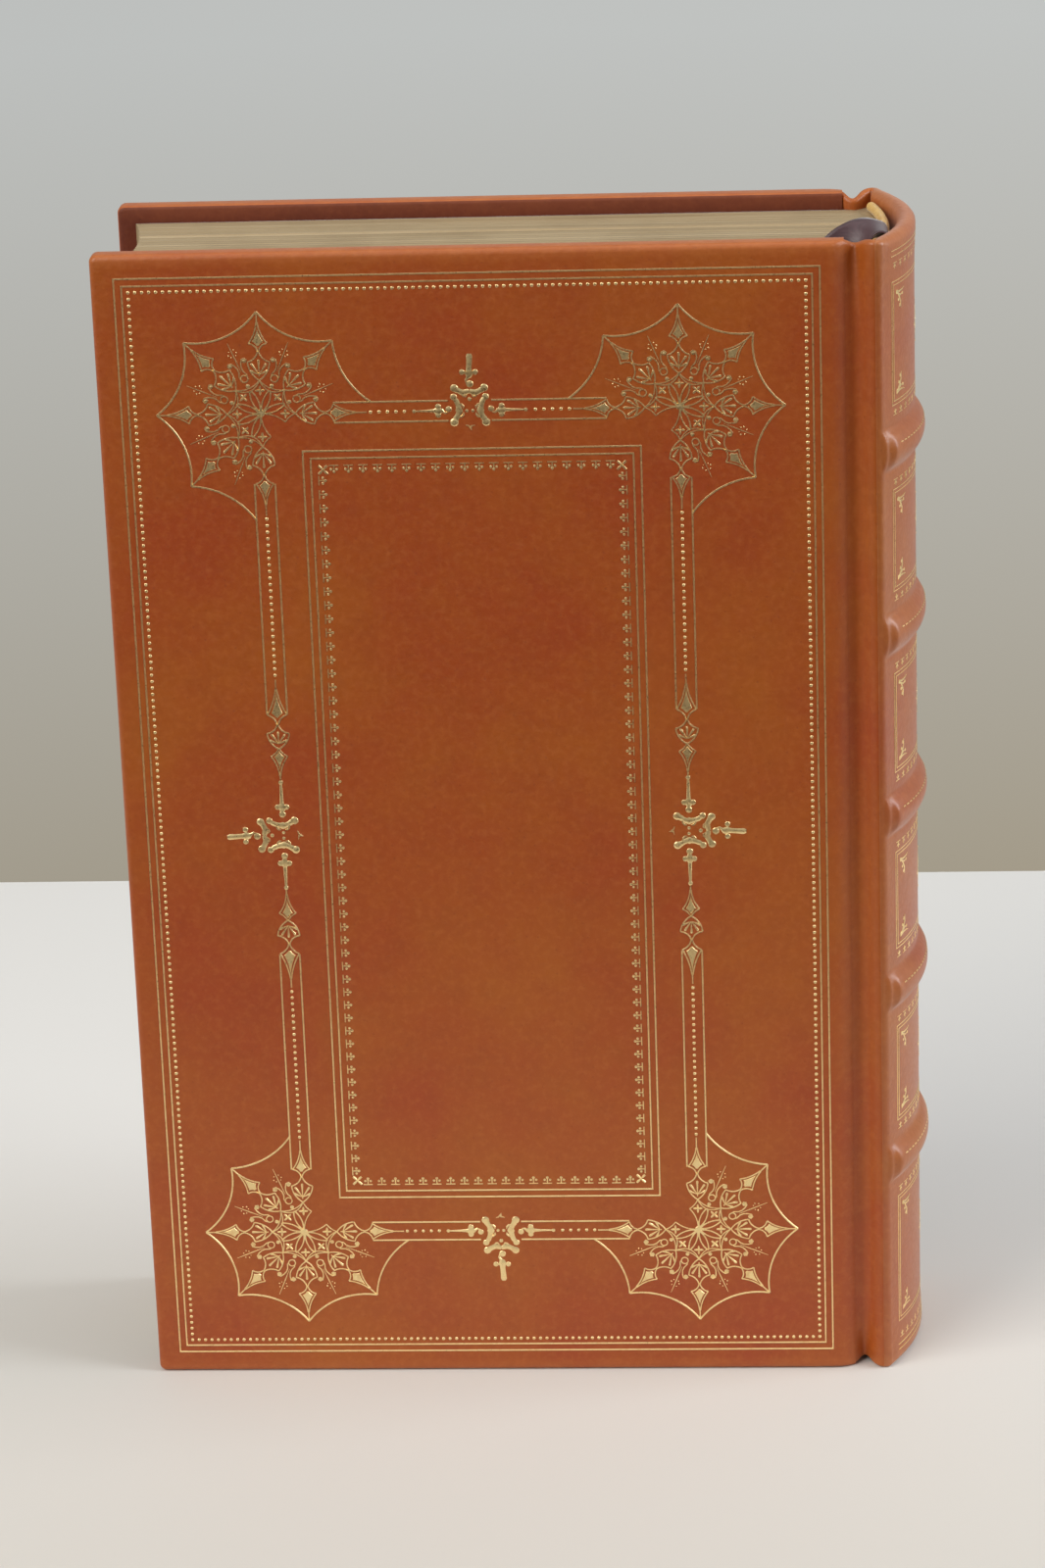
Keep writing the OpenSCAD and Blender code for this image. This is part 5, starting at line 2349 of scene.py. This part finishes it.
    def inner_joint(self, side: Side) -> Piece:
        """The silk that lines the joint from the paste-down to the flyleaf.

        Args:
            side: the side.

        Returns:
            The piece.
        """
        s = self.sizes
        inner = s.half_t - s.cover_t
        rise = ((63.6, -0.1), (64.6, -0.06), (65.3, 0.2), (66.0, 0.9), (67.2, 1.15), (68.4, 0.95),
                (69.2, 0.4), (69.3, -0.15), (68.4, -0.33))
        line = through([(x, inner + height) for x, height in rise], 4)
        rows = [[(x, side.value * y, z) for x, y in line] for z in spaced(s.z_tail + 1, s.z_head - 1, 60)]
        piece = sheet_piece(f"{side.label}_inner_joint_silk", rows)
        face_y(piece, -side.value)
        solidify(piece, 0.12, 0.0)
        dress(piece, self.finishes.endpaper)
        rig.slot(piece, "endpaper")
        return bend(piece, side, 65.2, 69.4, s.half_t + s.hinge_out)


# Studio


@dataclass(frozen=True)
class Studio:
    """The table, the room, the lamps and the camera of the photograph."""

    lens: float = 111.07
    eye: Point3 = (0.06114, -0.94004, 0.46188)
    yaw: float = 3.836
    pitch: float = 19.784
    roll: float = -2.006
    table_front: float = -0.22
    table_back: float = 0.268

    def build(self) -> None:
        """Makes the whole studio."""
        self.camera()
        self.table()
        self.lamps()
        self.room()

    def camera(self) -> None:
        """The camera at the photograph's angle."""
        yaw, pitch, roll = (math.radians(a) for a in (self.yaw, self.pitch, self.roll))
        ex = Vector((math.cos(yaw), math.sin(yaw), 0))
        ey = Vector((-math.sin(yaw), math.cos(yaw), 0))
        ez = Vector((0, 0, 1))
        forward = math.cos(pitch) * ey - math.sin(pitch) * ez
        up0 = math.sin(pitch) * ey + math.cos(pitch) * ez
        right = math.cos(roll) * ex + math.sin(roll) * up0
        up = -math.sin(roll) * ex + math.cos(roll) * up0
        data = bpy.data.cameras.new("camera")
        data.sensor_fit = "VERTICAL"
        data.sensor_height = 36.0
        data.sensor_width = 36.0
        data.lens = self.lens
        data.clip_start = 0.01
        camera = linked("camera", data)
        turn = Matrix((right, up, -forward)).transposed().to_4x4()
        camera.matrix_world = Matrix.Translation(self.eye) @ turn
        bpy.context.scene.camera = camera

    def surface(self, name: str, corners: Sequence[Point3], low: Colour, high: Colour, axis: str,
                span: Point2, roughness: float) -> None:
        """A plain stage surface whose colour changes slowly along one axis.

        Args:
            name: its name.
            corners: its four corners, in metres.
            low: colour at the start of the span.
            high: colour at its end.
            axis: X, Y or Z.
            span: start and end of the change, in metres.
            roughness: roughness of the surface.
        """
        mesh = bpy.data.meshes.new(name)
        mesh.from_pydata(corners, [], [(0, 1, 2, 3)])
        piece = linked(name, mesh)
        material, s, shader, place = Finish().start(name)
        parts = s.add("ShaderNodeSeparateXYZ", {0: place})
        share = s.span(parts.outputs[axis], span[0], span[1], 0.0, 1.0)
        s.fill(shader, {"Base Color": s.mix(share, low, high), "Roughness": roughness,
                        "Specular IOR Level": 0.2})
        dress(piece, material)
        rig.stage(piece)

    def table(self) -> None:
        """The pale table that the book stands on."""
        f, b = self.table_front, self.table_back
        # Painted shade: the table is painted darker towards the front, where the light falls off.
        self.surface("table", [(-1.2, f, 0), (1.2, f, 0), (1.2, b, 0), (-1.2, b, 0)],
                     rgb(208, 204, 196), rgb(226, 224, 220), "Y", (-0.12, 0.1), 0.7)

    def lamp(self, name: str, eye: Point3, aim: Point3, size: float, power: float, colour: Point3) -> None:
        """A soft square lamp.

        Args:
            name: its name.
            eye: where it is, in metres.
            aim: what it points at.
            size: length of its side.
            power: its power in watts.
            colour: its colour.
        """
        data = bpy.data.lights.new(name, "AREA")
        data.shape = "SQUARE"
        data.size = size
        data.energy = power
        data.color = colour
        lamp = linked(name, data)
        turn = (Vector(aim) - Vector(eye)).to_track_quat("-Z", "Y").to_matrix().to_4x4()
        lamp.matrix_world = Matrix.Translation(eye) @ turn

    def lamps(self) -> None:
        """Window light from the left and above, and a weak fill from the right."""
        self.lamp("key", (-1.1, -1.0, 1.2), (0, 0, 0.1), 1.3, 26.0, (1.0, 0.97, 0.93))
        self.lamp("fill", (1.5, -0.15, 0.8), (0, 0, 0.1), 1.1, 25.0, (0.9, 0.95, 1.0))
        self.lamp("top", (0.1, 0.0, 1.6), (0, 0, 0.0), 1.2, 5.0, (1.0, 1.0, 1.0))

    def room(self) -> None:
        """A grey room, dark in front of the table, whose wall the camera sees behind the book."""
        world = bpy.data.worlds.new("room")
        world.use_nodes = True
        world.node_tree.nodes.clear()
        s = Sheet(world.node_tree)
        output, light = s.add("ShaderNodeOutputWorld"), s.add("ShaderNodeBackground")
        s.put(output.inputs["Surface"], light.outputs[0])
        way = s.add("ShaderNodeSeparateXYZ", {0: s.add("ShaderNodeTexCoord").outputs["Generated"]})
        # Painted shade on the wall that the camera sees: darker and warmer low down, and a little darker to the left.
        wall = s.mix(s.span(way.outputs["Z"], -0.36, -0.19, 0.0, 1.0), rgb(163, 154, 136), rgb(194, 196, 194))
        wall = s.mix(s.span(way.outputs["X"], -0.16, 0.06, 0.12, 0.0), wall, rgb(146, 150, 150))
        low = s.span(way.outputs["Z"], -0.32, 0.02, 1.0, 0.0)
        near = s.span(way.outputs["Y"], -0.1, 0.1, 1.0, 0.0)
        lit = s.mix(s.math("MULTIPLY", low, near), rgb(182, 182, 180), rgb(84, 62, 46))
        rays = s.add("ShaderNodeLightPath").outputs
        seen = rays["Is Camera Ray"]
        s.put(light.inputs["Color"], s.mix(seen, lit, wall))
        mirrored = s.math("MULTIPLY_ADD", rays["Is Glossy Ray"], 0.32, 0.5)
        s.put(light.inputs["Strength"], s.math("MULTIPLY_ADD", seen, 0.5, mirrored))
        bpy.context.scene.world = world
        bpy.context.scene.view_settings.view_transform = "Standard"


def dress_nodes(finishes: Finishes) -> None:
    """Gives the CAD pieces that stay in view, or inside, their own finishes.

    Args:
        finishes: the materials.
    """
    kinds = {
        "spine_cloth": finishes.lining, "spine_inlay": finishes.board, "headband": finishes.headband,
        "tailband": finishes.headband,
    }
    kinds.update({f"band_{i}": finishes.board for i in range(1, 6)})
    for name, material in kinds.items():
        dress(frame["nodes"][name], material)


def main() -> None:
    """Builds the scene piece by piece."""
    logging.basicConfig(level=logging.INFO, format="%(name)s: %(message)s")
    low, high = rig.bounds()
    sizes = BookSizes.read()
    finishes = Finishes()
    Studio().build()
    dress_nodes(finishes)
    pieces: list[Piece] = []
    for part in (Cover(Side.BACK, sizes, finishes), Cover(Side.FRONT, sizes, finishes),
                 Spine(sizes, finishes), TextBlock(sizes, finishes)):
        made = part.build()
        pieces.extend(made)
        for piece in made:
            LOG.info("%s: %d faces", piece.name, len(piece.data.polygons))
    new_low, new_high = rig.bounds()
    with open("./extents.json", "w", encoding="utf-8") as out:
        json.dump({"cad": [list(low), list(high)], "visual": [list(new_low), list(new_high)]}, out)


if __name__ == "__main__":
    main()
